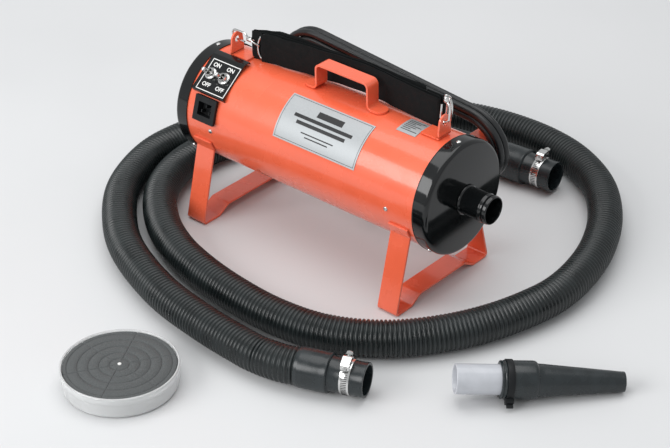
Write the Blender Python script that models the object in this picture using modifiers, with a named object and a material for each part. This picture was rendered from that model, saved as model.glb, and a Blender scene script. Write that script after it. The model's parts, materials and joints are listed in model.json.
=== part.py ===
"""Portable pet dryer with its hose, blower nozzle, spare filter and power cord.

Metres, +Z up. The dryer body lies along X with its outlet at +X and its switches at -Y.
Everything is laid out about the dryer's own centre, and one empty then shifts the kit,
so that the origin is on the floor under the middle of the whole kit's footprint.
"""
import math

import bmesh
import bpy
from mathutils import Matrix, Vector

# ---------------------------------------------------------------- driving dimensions
KIT_SHIFT = (-0.1453, 0.1962, 0.0)    # from the dryer's centre to the kit's centre
GAP = 0.0003                          # clearance between touching pieces
AXIS_Z = 0.1503                       # height of the body's axis
BODY_R = 0.0782
SHEET = 0.0015                        # body tube's sheet thickness
TUBE_HALF = 0.2150                    # half length of the body tube
CAP_R = 0.0795
SKIRT_X = 0.2014                      # where a cap's skirt starts
RIM_X = 0.2237                        # where a cap's face starts
CAP_ROUND = 0.006                     # rounding between skirt and face
CAP_CROWN = 0.004                     # how far the face domes out
CAP_SHEET = 0.0012
OUTLET_R = 0.01905
OUTLET_WALL = 0.0016
OUTLET_END = 0.2715

STAND_X = 0.1756
STRAP_W = 0.0325
STRAP_T = 0.003
FOOT_Y = 0.0970
KNEE_ANGLE = 210.0
RAIL_Z = 0.0129                       # centre height of the raised strap between the feet

HANDLE_X = (-0.0210, 0.0685)          # the two posts' centre planes
HANDLE_W = 0.022
HANDLE_TOP = 0.2667
LUG_X = (-0.1757, 0.1888)             # the two lugs' upright tabs
LUG_W = 0.024
LUG_HOLE_Z = 0.2505

PLATE_X, PLATE_ANGLE = -0.1668, 127.5
TOGGLE_X = (-0.1792, -0.1543)
TOGGLE_TILT = 12.0
INLET_X, INLET_ANGLE = -0.1662, 162.5

HOSE_D = 0.0490
HOSE_Z = HOSE_D / 2 + 0.0002
CUFF_Z = 0.0264                       # axis height of the cuffs, thicker than the hose
CUFF_LONG = 0.090
CORD_D = 0.0100

HANK_CENTRE = (0.0215, 0.09425, 0.1737)
HANK_HALF = (0.198, 0.062)            # half length and half height
HANK_RING = 0.021
HANK_TILT = 5.2

NOZZLE_MOUTH = (0.3603, -0.1886, 0.0340)
NOZZLE_TURN = 46.2
NOZZLE_DIP = 5.6                       # it lies on its thick sleeve and its tip
TIE_TURN = 220.0
DISH_CENTRE = (0.0202, -0.4290, 0.0)
DISH_R = 0.0740

# ---------------------------------------------------------------- clean scene
for old in list(bpy.data.objects):
    bpy.data.objects.remove(old, do_unlink=True)
parts = bpy.data.collections.new("pet_dryer")
cutters = bpy.data.collections.new("cutters")
bpy.context.scene.collection.children.link(parts)
bpy.context.scene.collection.children.link(cutters)
kit = bpy.data.objects.new("kit", None)
kit.location = KIT_SHIFT
parts.objects.link(kit)


def material(name, colour, roughness, metallic=0.0, alpha=1.0):
    """One Principled material."""
    made = bpy.data.materials.new(name)
    made.use_nodes = True
    shader = made.node_tree.nodes["Principled BSDF"]
    shader.inputs["Base Color"].default_value = (*colour, 1.0)
    shader.inputs["Roughness"].default_value = roughness
    shader.inputs["Metallic"].default_value = metallic
    shader.inputs["Alpha"].default_value = alpha
    return made


CORAL = material("coral_powder_coat", (0.85, 0.17, 0.07), 0.35)
BLACK_GLOSS = material("black_gloss_enamel", (0.008, 0.009, 0.010), 0.15)
BLACK_PLASTIC = material("black_plastic", (0.015, 0.016, 0.017), 0.45)
HOSE_RUBBER = material("black_hose", (0.018, 0.021, 0.021), 0.5)
WEBBING = material("black_webbing", (0.012, 0.013, 0.014), 0.9)
STEEL = material("bright_steel", (0.62, 0.63, 0.64), 0.2, 1.0)
SATIN_STEEL = material("satin_steel", (0.55, 0.56, 0.57), 0.4, 1.0)
COPPER = material("motor_copper", (0.55, 0.25, 0.12), 0.4, 0.8)
ALUMINIUM = material("silver_plate", (0.66, 0.67, 0.68), 0.35, 0.8)
GREY_PVC = material("grey_pvc", (0.42, 0.46, 0.52), 0.4)
FOAM = material("grey_foam", (0.10, 0.11, 0.11), 0.95)
CLEAR = material("clear_plastic", (0.85, 0.88, 0.88), 0.08, 0.0, 0.3)


# ---------------------------------------------------------------- helpers
def adopt(made, name, look, place=None, collection=None):
    """Name an object, give it its material, and hang it on the kit's empty."""
    made.name = name
    made.data.name = name
    made.data.materials.clear()
    made.data.materials.append(look)
    for owner in list(made.users_collection):
        owner.objects.unlink(made)
    (collection or parts).objects.link(made)
    made.parent = kit
    made.matrix_parent_inverse = Matrix.Identity(4)
    made.matrix_local = place if place is not None else Matrix.Identity(4)
    return made


def from_bmesh(name, shape, look, place=None, collection=None):
    """Turn a bmesh into an object, with smooth faces and sharp edges past 35 degrees."""
    bmesh.ops.recalc_face_normals(shape, faces=shape.faces)
    mesh = bpy.data.meshes.new(name)
    shape.to_mesh(mesh)
    shape.free()
    mesh.shade_smooth()
    mesh.set_sharp_from_angle(angle=math.radians(35))
    return adopt(bpy.data.objects.new(name, mesh), name, look, place, collection)


def box(name, size, look, place, collection=None):
    """A block of a given size about the centre of its place."""
    shape = bmesh.new()
    bmesh.ops.create_cube(shape, size=1.0)
    bmesh.ops.scale(shape, vec=size, verts=shape.verts)
    return from_bmesh(name, shape, look, place, collection)


def rod(name, radius, length, look, place, sides=16, collection=None):
    """A cylinder about its own Z."""
    shape = bmesh.new()
    bmesh.ops.create_cone(shape, cap_ends=True, segments=sides,
                          radius1=radius, radius2=radius, depth=length)
    return from_bmesh(name, shape, look, place, collection)


def turned(name, profile, look, place, sides=32):
    """A closed (radius, height) profile turned about Z. Points on the axis are merged."""
    area = sum(a[0] * b[1] - b[0] * a[1]
               for a, b in zip(profile, profile[1:] + profile[:1]))
    points = profile if area < 0 else profile[::-1]
    mesh = bpy.data.meshes.new(name)
    edges = [(i, (i + 1) % len(points)) for i in range(len(points))]
    on_axis = [i for i, point in enumerate(points) if point[0] == 0.0]
    if on_axis:
        edges = [edge for edge in edges if not set(edge) <= set(on_axis)]
    mesh.from_pydata([(r, 0.0, z) for r, z in points], edges, [])
    made = adopt(bpy.data.objects.new(name, mesh), name, look, place)
    screw = made.modifiers.new("turn", "SCREW")
    screw.steps = sides
    screw.render_steps = sides
    screw.use_merge_vertices = True
    screw.merge_threshold = 0.00005
    return made


def meshed(made):
    """Replace a curve or a modified object by the plain mesh it evaluates to."""
    bpy.context.view_layer.update()
    depsgraph = bpy.context.evaluated_depsgraph_get()
    mesh = bpy.data.meshes.new_from_object(made.evaluated_get(depsgraph))
    shape = bmesh.new()
    shape.from_mesh(mesh)
    bmesh.ops.remove_doubles(shape, verts=shape.verts, dist=0.00001)
    bmesh.ops.recalc_face_normals(shape, faces=shape.faces)
    shape.to_mesh(mesh)
    shape.free()
    mesh.shade_smooth()
    mesh.set_sharp_from_angle(angle=math.radians(35))
    name, look = made.name, made.data.materials[0]
    place = made.matrix_local.copy()
    bpy.data.objects.remove(made, do_unlink=True)
    return adopt(bpy.data.objects.new(name, mesh), name, look, place)


def flat(name, outline, thickness, look, place, holes=()):
    """A flat outline in its place's XY plane, thickened evenly to both sides of it."""
    curve = bpy.data.curves.new(name, "CURVE")
    curve.dimensions = "2D"
    curve.fill_mode = "BOTH"
    curve.extrude = thickness / 2
    for loop in (outline, *holes):
        spline = curve.splines.new("POLY")
        spline.points.add(len(loop) - 1)
        for point, xy in zip(spline.points, loop):
            point.co = (xy[0], xy[1], 0.0, 1.0)
        spline.use_cyclic_u = True
    return meshed(adopt(bpy.data.objects.new(name, curve), name, look, place))


def piped(name, points, radius, look, place=None, sides_level=2, cyclic=False):
    """A round bar or cord along the points, with filled ends."""
    curve = bpy.data.curves.new(name, "CURVE")
    curve.dimensions = "3D"
    curve.bevel_depth = radius
    curve.bevel_resolution = sides_level
    curve.use_fill_caps = not cyclic
    curve.render_resolution_u = 0
    spline = curve.splines.new("POLY")
    spline.points.add(len(points) - 1)
    for point, xyz in zip(spline.points, points):
        point.co = (*xyz, 1.0)
    spline.use_cyclic_u = cyclic
    return meshed(adopt(bpy.data.objects.new(name, curve), name, look, place))


def boolean(target, tool, operation):
    """Cut, or join, the target with a tool that stays hidden."""
    tool.hide_render = True
    tool.display_type = "WIRE"
    change = target.modifiers.new(operation.lower(), "BOOLEAN")
    change.operation = operation
    change.solver = "EXACT"
    change.object = tool
    return target


def to_cutters(made):
    """Move a helper object out of the parts' collection."""
    parts.objects.unlink(made)
    cutters.objects.link(made)
    return made


def arc(centre, radius, start, end, steps):
    """Points on a circle, from one angle to another, both in degrees."""
    return [(centre[0] + radius * math.cos(math.radians(start + (end - start) * i / steps)),
             centre[1] + radius * math.sin(math.radians(start + (end - start) * i / steps)))
            for i in range(steps + 1)]


def rounded(points, radius, steps=3):
    """An open path whose inner corners are rounded by arcs."""
    path = [Vector(points[0])]
    for before, corner, after in zip(points, points[1:], points[2:]):
        before, corner, after = Vector(before), Vector(corner), Vector(after)
        back, on = (before - corner).normalized(), (after - corner).normalized()
        half = back.angle(on) / 2
        reach = min(radius / math.tan(half), 0.45 * (before - corner).length,
                    0.45 * (after - corner).length)
        centre = corner + (back + on).normalized() * (reach / math.cos(half))
        start, end = corner + back * reach, corner + on * reach
        for i in range(steps + 1):
            ray = (start - centre).lerp(end - centre, i / steps)
            path.append(centre + ray.normalized() * (reach * math.tan(half)))
    path.append(Vector(points[-1]))
    return path


def strip(path, thickness):
    """The outline of a sheet of even thickness that follows an open path."""
    path = [Vector(point) for point in path]
    left, right = [], []
    for i, point in enumerate(path):
        before = (point - path[max(i - 1, 0)]).normalized()
        after = (path[min(i + 1, len(path) - 1)] - point).normalized()
        along = (before + after).normalized()
        square = Vector((-along.y, along.x))
        reach = thickness / 2 / max(0.3, abs(square.dot(
            Vector((-after.y, after.x)) if i == 0 else Vector((-before.y, before.x)))))
        left.append(tuple(point + square * reach))
        right.append(tuple(point - square * reach))
    return left + right[::-1]


def smooth_route(points, spacing):
    """Points a given distance apart on the Catmull-Rom curve through a cord's route."""
    route = [Vector(point) for point in points]
    route = [2 * route[0] - route[1], *route, 2 * route[-1] - route[-2]]
    dense = []
    for a, b, c, d in zip(route, route[1:], route[2:], route[3:]):
        for i in range(24):
            t = i / 24
            dense.append(0.5 * (2 * b + (c - a) * t + (2 * a - 5 * b + 4 * c - d) * t * t
                                + (3 * b - a - 3 * c + d) * t ** 3))
    dense.append(route[-2])
    total = sum((q - p).length for p, q in zip(dense, dense[1:]))
    step = total / max(1, round(total / spacing))
    picked, run, target = [dense[0]], 0.0, step
    for p, q in zip(dense, dense[1:]):
        length = (q - p).length
        while run + length >= target - 1e-9 and target < total - step / 2:
            picked.append(p.lerp(q, (target - run) / length))
            target += step
        run += length
    picked.append(dense[-1])
    return picked


def on_tube(x, angle, radius):
    """A place on the body: local Z points out of the tube, local X runs along it."""
    a = math.radians(angle)
    centre = Vector((x, radius * math.cos(a), AXIS_Z + radius * math.sin(a)))
    return Matrix.Translation(centre) @ Matrix.Rotation(a - math.pi / 2, 4, "X")


def across(x):
    """A plane square to X: local X is world Y, local Y is world Z."""
    return Matrix.Translation((x, 0.0, 0.0)) @ Matrix(((0, 0, 1, 0), (1, 0, 0, 0),
                                                        (0, 1, 0, 0), (0, 0, 0, 1)))


def along(y):
    """A plane square to Y: local X is world X, local Y is world Z."""
    return Matrix.Translation((0.0, y, 0.0)) @ Matrix.Rotation(math.pi / 2, 4, "X")


def facing(centre, direction):
    """A place whose local Z points in a direction."""
    turn = Vector(direction).normalized().to_track_quat("Z", "Y").to_matrix().to_4x4()
    return Matrix.Translation(centre) @ turn


# ---------------------------------------------------------------- body and end caps
def body_tube():
    ring = [(BODY_R, TUBE_HALF), (BODY_R, -TUBE_HALF),
            (BODY_R - SHEET, -TUBE_HALF), (BODY_R - SHEET, TUBE_HALF)]
    tube = turned("body_tube", ring, CORAL, facing((0, 0, AXIS_Z), (1, 0, 0)), 48)
    openings = (("cut_switch_opening", (0.046, 0.034, 0.03), PLATE_X, PLATE_ANGLE),
                ("cut_inlet_opening", (0.033, 0.028, 0.03), INLET_X, INLET_ANGLE))
    for name, size, x, angle in openings:
        hole = box(name, size, CORAL, on_tube(x, angle, BODY_R), cutters)
        boolean(tube, hole, "DIFFERENCE")


def cap_profile(hole):
    """A pressed cap from the edge of its hole to the skirt, as (radius, height)."""
    skirt = CAP_R - CAP_SHEET
    flat_r = CAP_R - CAP_ROUND
    crown = RIM_X + CAP_CROWN

    def face(r):
        return crown - CAP_CROWN * (r / flat_r) ** 2

    outside = [(r, face(r)) for r in (hole, (hole + flat_r) / 2)]
    outside += [(flat_r + x, z) for x, z in
                arc((0, RIM_X - CAP_ROUND), CAP_ROUND, 90, 0, 4)]
    inside = [(flat_r + x, z) for x, z in
              arc((0, RIM_X - CAP_ROUND), CAP_ROUND - CAP_SHEET, 0, 90, 3)]
    inside += [(r, face(r) - CAP_SHEET) for r in ((hole + flat_r) / 2, hole)]
    return outside + [(CAP_R, SKIRT_X), (skirt, SKIRT_X)] + inside


def end_caps():
    outlet_place = facing((0, 0, AXIS_Z), (1, 0, 0))
    intake_place = facing((0, 0, AXIS_Z), (-1, 0, 0))
    turned("outlet_end_cap", cap_profile(OUTLET_R + GAP), BLACK_GLOSS, outlet_place, 48)
    turned("intake_end_cap", cap_profile(0.056), BLACK_GLOSS, intake_place, 48)

    inner = OUTLET_R - OUTLET_WALL
    lip = RIM_X + CAP_CROWN + GAP
    beads = []
    for x in (OUTLET_END - 0.012, OUTLET_END - 0.005):
        beads += [(OUTLET_R, x - 0.002), (OUTLET_R + 0.0011, x), (OUTLET_R, x + 0.002)]
    tube = [(inner, 0.2100), (OUTLET_R, 0.2100), (OUTLET_R, lip), (OUTLET_R + 0.0018, lip),
            (OUTLET_R + 0.0018, lip + 0.0012), (OUTLET_R, lip + 0.0030)]
    tube += beads + [(OUTLET_R, OUTLET_END), (inner, OUTLET_END)]
    turned("outlet_tube", tube, BLACK_GLOSS, outlet_place, 32)

    grille_x = -(RIM_X - 0.0022)
    grille = rod("intake_grille", 0.0655, 0.001, BLACK_GLOSS,
                 facing((grille_x, 0, AXIS_Z), (-1, 0, 0)), 40)
    slots = bmesh.new()
    for ring, count in ((0.018, 6), (0.033, 10), (0.048, 14)):
        for i in range(count):
            a = 2 * math.pi * i / count
            made = bmesh.ops.create_cone(slots, cap_ends=True, segments=8, radius1=0.0052,
                                         radius2=0.0052, depth=0.01)
            bmesh.ops.translate(slots, verts=made["verts"],
                                vec=(ring * math.cos(a), ring * math.sin(a), 0))
    holes = from_bmesh("cut_grille_holes", slots, BLACK_GLOSS,
                       facing((grille_x, 0, AXIS_Z), (-1, 0, 0)), cutters)
    boolean(grille, holes, "DIFFERENCE")


# ---------------------------------------------------------------- stands, handle, lugs
def stand(name, x):
    """One closed strap loop: tab on the body, leg, foot, raised rail, foot, leg, tab."""
    hug = BODY_R + GAP + STRAP_T / 2 + 0.0002
    tab = [(hug * math.cos(a), AXIS_Z + hug * math.sin(a)) for a in
           (math.radians(angle) for angle in (KNEE_ANGLE - 11.5, KNEE_ANGLE - 6, KNEE_ANGLE))]
    floor = STRAP_T / 2
    half = tab + [(-FOOT_Y, floor), (-0.066, floor), (-0.047, RAIL_Z)]
    front = rounded(half + [(0.0, RAIL_Z)], 0.004, 2)[:-1]
    rear = [Vector((-p.x, p.y)) for p in reversed(front)]
    flat(name, strip(front + rear, STRAP_T), STRAP_W, CORAL, across(x))


def handle():
    rest = AXIS_Z + BODY_R + GAP + STRAP_T / 2 + 0.0002
    left, right = HANDLE_X
    path = [(left - 0.0245, rest), (left, rest), (left, HANDLE_TOP),
            (right, HANDLE_TOP), (right, rest), (right + 0.0245, rest)]
    made = flat("carry_handle", strip(rounded(path, 0.006), STRAP_T), HANDLE_W, CORAL,
                along(0.0))
    for x, side in ((left - 0.0245, -1), (right + 0.0245, 1)):
        corner = [(0, -0.02), (0, 0.02)] + arc((-0.011, 0), 0.011, 90, -90, 8)
        corner = [(side * (px + 0.0006), py) for px, py in corner]
        tool = flat(f"cut_handle_end_{'l' if side < 0 else 'r'}", corner, 0.01, CORAL,
                    Matrix.Translation((x, 0, rest)))
        boolean(made, to_cutters(tool), "DIFFERENCE")


def lug(name, x, side):
    """A bent strip: a base on the tube's top and an upright tab with a hole."""
    rest = AXIS_Z + BODY_R + GAP
    thick = 0.0026
    half = LUG_W / 2
    top = 0.0325
    outline = [(-half, 0.0), (half, 0.0), (half, 0.0125)]
    outline += arc((0, LUG_HOLE_Z - rest), top - (LUG_HOLE_Z - rest), 25, 155, 8)
    outline += [(-half, 0.0125)]
    hole = arc((0, LUG_HOLE_Z - rest), 0.0048, 0, 345, 15)
    tab = flat(name, outline, thick, CORAL, across(x) @ Matrix.Translation((0, rest, 0)),
               holes=(hole,))
    base = box(f"join_{name}_base", (0.030, LUG_W, thick), CORAL,
               Matrix.Translation((x + side * (0.015 - thick / 2), 0, rest + thick / 2)),
               cutters)
    boolean(tab, base, "UNION")


def cord_bracket(name, x, high):
    """A strip welded to the rear of the tube, out through the hank at a height, and up in a lip."""
    reach = BODY_R + 0.0024
    end = math.asin((high - AXIS_Z) / reach)
    foot = [(reach * math.cos(a), AXIS_Z + reach * math.sin(a)) for a in (end - 0.25, end)]
    path = rounded(foot + [(0.1105, high), (0.1105, high + 0.0197)], 0.004)
    flat(name, strip(path, 0.0025), 0.028, CORAL, across(x))


# ---------------------------------------------------------------- switches and inlet
def switch_plate():
    half_w, foot, head = 0.0295, -0.0280, 0.0290
    path = rounded([(foot, -0.0065), (foot, 0), (head, 0), (head + 0.0085, -0.0048),
                    (head + 0.0076, -0.0080)], 0.0022)
    side = Matrix.Rotation(math.pi / 2, 4, "Z") @ Matrix.Rotation(math.pi / 2, 4, "X")
    plate = flat("switch_plate", strip(path, 0.0012), 2 * half_w, BLACK_GLOSS,
                 on_tube(PLATE_X, PLATE_ANGLE, 0.0800) @ side)
    for i, x in enumerate(TOGGLE_X):
        tool = rod(f"cut_bushing_{i}", 0.0062, 0.01, BLACK_GLOSS,
                   on_tube(x, PLATE_ANGLE, 0.0800), 20, cutters)
        boolean(plate, tool, "DIFFERENCE")


def toggle(number, x):
    place = on_tube(x, PLATE_ANGLE, 0.0)
    block = box(f"switch_{number}_body", (0.0130, 0.0220, 0.0200), BLACK_PLASTIC,
                place @ Matrix.Translation((0, 0, 0.0680)))
    bushing = rod(f"join_bushing_{number}", 0.0059, 0.0130, STEEL,
                  place @ Matrix.Translation((0, 0, 0.0820)), 20, cutters)
    bore = rod(f"cut_bushing_bore_{number}", 0.0046, 0.02, STEEL,
               place @ Matrix.Translation((0, 0, 0.0913)), 20, cutters)
    boolean(boolean(block, bushing, "UNION"), bore, "DIFFERENCE")
    nut = [(0.0062, 0.0), (0.0087, 0.0), (0.0087, 0.0020), (0.0078, 0.0030), (0.0062, 0.0030)]
    turned(f"switch_{number}_nut", nut, STEEL,
           place @ Matrix.Translation((0, 0, 0.0809)), 24)
    lever = [(0.0, -0.0028), (0.0020, -0.0020), (0.0028, 0.0), (0.0020, 0.0022),
             (0.0018, 0.0045), (0.0030, 0.0135), (0.0030, 0.0165), (0.0018, 0.0180), (0.0, 0.0184)]
    pivot = place @ Matrix.Translation((0, 0, 0.0848))
    turned(f"switch_{number}_lever", lever, STEEL,
           pivot @ Matrix.Rotation(math.radians(TOGGLE_TILT), 4, "X"), 12)


def power_inlet():
    """A flanged inlet with a recess and three contact pins standing in it."""
    place = on_tube(INLET_X, INLET_ANGLE, 0.0)
    flange = box("power_inlet", (0.0390, 0.0360, 0.0044), BLACK_PLASTIC,
                 place @ Matrix.Translation((0, 0, 0.0808)))
    shell = box("join_inlet_body", (0.0300, 0.0250, 0.0200), BLACK_PLASTIC,
                place @ Matrix.Translation((0, 0, 0.0690)), cutters)
    recess = box("cut_inlet_recess", (0.0240, 0.0190, 0.0200), BLACK_PLASTIC,
                 place @ Matrix.Translation((0, 0, 0.0810)), cutters)
    boolean(boolean(flange, shell, "UNION"), recess, "DIFFERENCE")
    for i, (x, y) in enumerate(((-0.0070, -0.0035), (0.0070, -0.0035), (0.0, 0.0045))):
        pin = box(f"join_inlet_pin_{i}", (0.0020, 0.0045, 0.0110), BLACK_PLASTIC,
                  place @ Matrix.Translation((x, y, 0.0745)), cutters)
        boolean(flange, pin, "UNION")


def label(name, x_from, x_to, angle_from, angle_to, look):
    """A thin plate bent round the tube."""
    outer = arc((0, AXIS_Z), BODY_R + GAP + 0.0007, angle_from, angle_to, 8)
    inner = arc((0, AXIS_Z), BODY_R + GAP, angle_to, angle_from, 8)
    flat(name, outer + inner, x_to - x_from, look, across((x_from + x_to) / 2))


# ---------------------------------------------------------------- two motors in series
def motor(number, x):
    """A through-flow vacuum motor, air from -X: fan case, frame, rotor, fan, bearing, seal."""
    place = facing((x, 0, AXIS_Z), (1, 0, 0))
    tag = f"motor_{number}"
    fan_r, wall = 0.0715, 0.0012
    case = [(0.024, 0.0), (fan_r, 0.0), (fan_r, 0.050), (0.052, 0.050),
            (0.052, 0.050 - wall), (fan_r - wall, 0.050 - wall), (fan_r - wall, wall),
            (0.024, wall)]
    turned(f"{tag}_fan_case", case, ALUMINIUM, place, 36)
    seal = [(fan_r + GAP, 0.010), (BODY_R - SHEET - GAP, 0.010),
            (BODY_R - SHEET - GAP, 0.034), (fan_r + GAP, 0.034)]
    turned(f"{tag}_mounting_seal", seal, BLACK_PLASTIC, place, 36)
    frame = [(0.0083, 0.038), (0.047, 0.038), (0.047, 0.122), (0.0060, 0.122),
             (0.0060, 0.119), (0.044, 0.119), (0.044, 0.108), (0.029, 0.108),
             (0.029, 0.066), (0.044, 0.066), (0.044, 0.042), (0.0083, 0.042)]
    turned(f"{tag}_frame", frame, SATIN_STEEL, place, 24)
    rotor = [(0.0, 0.006), (0.0040, 0.006), (0.0040, 0.064), (0.0270, 0.066),
             (0.0270, 0.104), (0.0120, 0.106), (0.0120, 0.114), (0.0040, 0.116),
             (0.0040, 0.128), (0.0, 0.128)]
    turned(f"{tag}_rotor", rotor, COPPER, place, 16)
    bearing = [(0.0040 + GAP, 0.0375), (0.0080, 0.0375), (0.0080, 0.0435),
               (0.0040 + GAP, 0.0435)]
    turned(f"{tag}_bearing", bearing, STEEL, place, 16)
    hub = [(0.0040 + GAP, 0.012), (0.0090, 0.012), (0.0090, 0.024), (0.066, 0.026),
           (0.066, 0.0275), (0.0040 + GAP, 0.0275)]
    fan = meshed(turned(f"{tag}_fan", hub, ALUMINIUM, place, 24))
    blades = bmesh.new()
    for i in range(7):
        made = bmesh.ops.create_cube(blades, size=1.0)["verts"]
        bmesh.ops.scale(blades, vec=(0.044, 0.0012, 0.0145), verts=made)
        turn = (Matrix.Rotation(2 * math.pi * i / 7, 4, "Z")
                @ Matrix.Translation((0.042, 0, 0.0185)) @ Matrix.Rotation(0.45, 4, "Z"))
        bmesh.ops.transform(blades, matrix=turn, verts=made)
    tool = from_bmesh(f"join_{tag}_blades", blades, ALUMINIUM, place, cutters)
    boolean(fan, tool, "UNION")


# ---------------------------------------------------------------- shoulder strap
STRAP_LINE = [(-0.1240, 0.0080), (-0.1070, 0.0115), (-0.0440, 0.0205), (0.0000, 0.0265),
              (0.0370, 0.0290), (0.0610, 0.0270), (0.0990, 0.0230), (0.1300, 0.0205),
              (0.1550, 0.0190), (0.1720, 0.0188)]
WEB_WIDE = 0.0450


def shoulder_strap():
    """The folded webbing standing on edge behind the handle, as one soft slab."""
    line = [Vector((x, y)) for x, y, _ in
            smooth_route([(x, y, 0.0) for x, y in STRAP_LINE], 0.022)]
    low = AXIS_Z + BODY_R + 0.0008
    flat("shoulder_strap", strip(line, 0.0110), WEB_WIDE, WEBBING,
         Matrix.Translation((0, 0, low + WEB_WIDE / 2)))


def hook(name, start, direction, side):
    """A snap hook: swivel barrel, bent wire through the lug's hole, and a sprung gate."""
    ahead, across_it = Vector(direction).normalized(), Vector(side)
    square = ahead.cross(across_it).normalized()
    place = Matrix.Translation(start) @ Matrix((square.cross(ahead), square, ahead)
                                               ).transposed().to_4x4()
    barrel = [(0.0, 0.001), (0.0024, 0.001), (0.0034, 0.003), (0.0034, 0.008),
              (0.0018, 0.0095), (0.0, 0.0095)]
    body = meshed(turned(f"{name}_hook", barrel, STEEL, place, 12))
    turn_z = HOOK_LONG - HOOK_BEND
    tip_z = turn_z - 0.0030
    wire = [(0, 0, 0.0085), (HOOK_BEND, 0, 0.0135)]
    wire += [(x, 0, z) for x, z in arc((0, turn_z), HOOK_BEND, 0, 180, 8)]
    wire += [(-HOOK_BEND, 0, tip_z)]
    tool = to_cutters(piped(f"join_{name}_wire", wire, HOOK_WIRE, STEEL, place, 1))
    boolean(body, tool, "UNION")
    gate = [(-HOOK_BEND, 0, 0.0145), (-HOOK_BEND, 0, tip_z - GAP)]
    piped(f"{name}_gate", gate, 0.0013, STEEL, place, 1)


def strap_ring(name, foot, head, bulge):
    """A D-shaped ring: a straight bar in the webbing's fold and a curve outside it."""
    foot, head, bulge = Vector(foot), Vector(head), Vector(bulge)
    mid, half = (foot + head) / 2, (head - foot) / 2
    ring = [foot, head]
    ring += [mid + bulge * y + half * x for x, y in arc((0, 0), 1.0, 20, 160, 7)]
    piped(name, ring, 0.0017, STEEL, None, 1, cyclic=True)


HOOK_LONG, HOOK_BEND, HOOK_WIRE = 0.037, 0.0066, 0.0016


# ---------------------------------------------------------------- power cord
def stadium(half_length, half_height, steps):
    straight = half_length - half_height
    return (arc((straight, 0), half_height, -90, 90, steps)
            + arc((-straight, 0), half_height, 90, 270, steps))


def power_cord():
    half_l, half_h = HANK_HALF
    place = Matrix.Translation(HANK_CENTRE) @ Matrix.Rotation(math.radians(HANK_TILT), 4, "Y") \
        @ Matrix.Rotation(math.pi / 2, 4, "X")
    flat("cord_hank", stadium(half_l, half_h, 10), 0.021, BLACK_PLASTIC, place,
         holes=(stadium(half_l - HANK_RING, half_h - HANK_RING, 10),))
    tails = (("cord_connector_tail", CONNECTOR_TAIL), ("cord_plug_tail", PLUG_TAIL))
    for name, points in tails:
        piped(name, points, CORD_D / 2, BLACK_PLASTIC, None, 2)
    for name, tail, size, length in (("cord_connector", CONNECTOR_TAIL, (0.0245, 0.0190), 0.040),
                                     ("power_plug", PLUG_TAIL, (0.0260, 0.0240), 0.036)):
        end = Vector(tail[-1])
        top = end.z - GAP
        plug = box(name, (*size, length), BLACK_PLASTIC,
                   Matrix.Translation((end.x, end.y, top - length / 2)))
        if name == "power_plug":
            for i, (x, y) in enumerate(((-0.0063, 0.004), (0.0063, 0.004), (0.0, -0.006))):
                blade = box(f"join_plug_blade_{i}", (0.0018, 0.0064, 0.020), STEEL,
                            Matrix.Translation((end.x + x, end.y + y, top - length - 0.008)),
                            cutters)
                boolean(plug, blade, "UNION")


CONNECTOR_TAIL = [(-0.1750, 0.0995, 0.1555), (-0.1775, 0.1000, 0.1410),
                  (-0.1785, 0.1005, 0.1310), (-0.1785, 0.1005, 0.1240)]
PLUG_BEND, PLUG_BEND_R = (0.0515, 0.0736), 0.0400      # centre (x, z) and radius of the last bend
PLUG_TAIL = [(x, 0.0885, z) for x, z in arc(PLUG_BEND, PLUG_BEND_R, 126, 180, 4)]
PLUG_TAIL += [(PLUG_BEND[0] - PLUG_BEND_R, 0.0885, 0.0700)]


# ---------------------------------------------------------------- hose and cuffs
CUFF_A_MOUTH, CUFF_A_TURN = (0.2747, -0.2524), 21.5
CUFF_B_MOUTH, CUFF_B_TURN = (0.1640, 0.2915), 4.0
HOSE_INSET = 0.0523                    # from a cuff's mouth to the hose's end inside it
HOSE_ROUTE = [
    (0.1400, -0.2975), (0.1100, -0.2985), (0.0310, -0.2930),
    (-0.0620, -0.2770), (-0.1640, -0.2375), (-0.2350, -0.1870), (-0.2920, -0.1230),
    (-0.3260, -0.0400), (-0.3270, 0.0320), (-0.3080, 0.1100), (-0.2640, 0.1890),
    (-0.1960, 0.2620), (-0.1150, 0.3180), (-0.0300, 0.3530), (0.0360, 0.3660),
    (0.1020, 0.3650), (0.1650, 0.3480), (0.2280, 0.3090), (0.2790, 0.2500),
    (0.3140, 0.1830), (0.3330, 0.1180), (0.3390, 0.0560), (0.3310, 0.0030),
    (0.3120, -0.0560), (0.2800, -0.1150), (0.2330, -0.1690), (0.1680, -0.2080),
    (0.0960, -0.2220), (0.0220, -0.2200), (-0.0500, -0.2090), (-0.1160, -0.1900),
    (-0.1790, -0.1570), (-0.2330, -0.1090), (-0.2650, -0.0540), (-0.2760, 0.0050),
    (-0.2650, 0.0680), (-0.2310, 0.1320), (-0.1740, 0.1930), (-0.1020, 0.2400),
    (-0.0350, 0.2690), (0.0100, 0.2780)]


def along_cuff(mouth, turn, back):
    """A point on a cuff's axis, a distance back from its mouth."""
    a = math.radians(turn)
    return (mouth[0] - back * math.cos(a), mouth[1] - back * math.sin(a), CUFF_Z)


def hose():
    backs = (HOSE_INSET, 0.082, 0.112)
    start = [along_cuff(CUFF_A_MOUTH, CUFF_A_TURN, back) for back in backs]
    end = [along_cuff(CUFF_B_MOUTH, CUFF_B_TURN, back) for back in reversed(backs)]
    route = start + [(x, y, HOSE_Z) for x, y in HOSE_ROUTE] + end
    piped("hose", smooth_route(route, 0.055), HOSE_D / 2, HOSE_RUBBER, None, 4)


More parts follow.
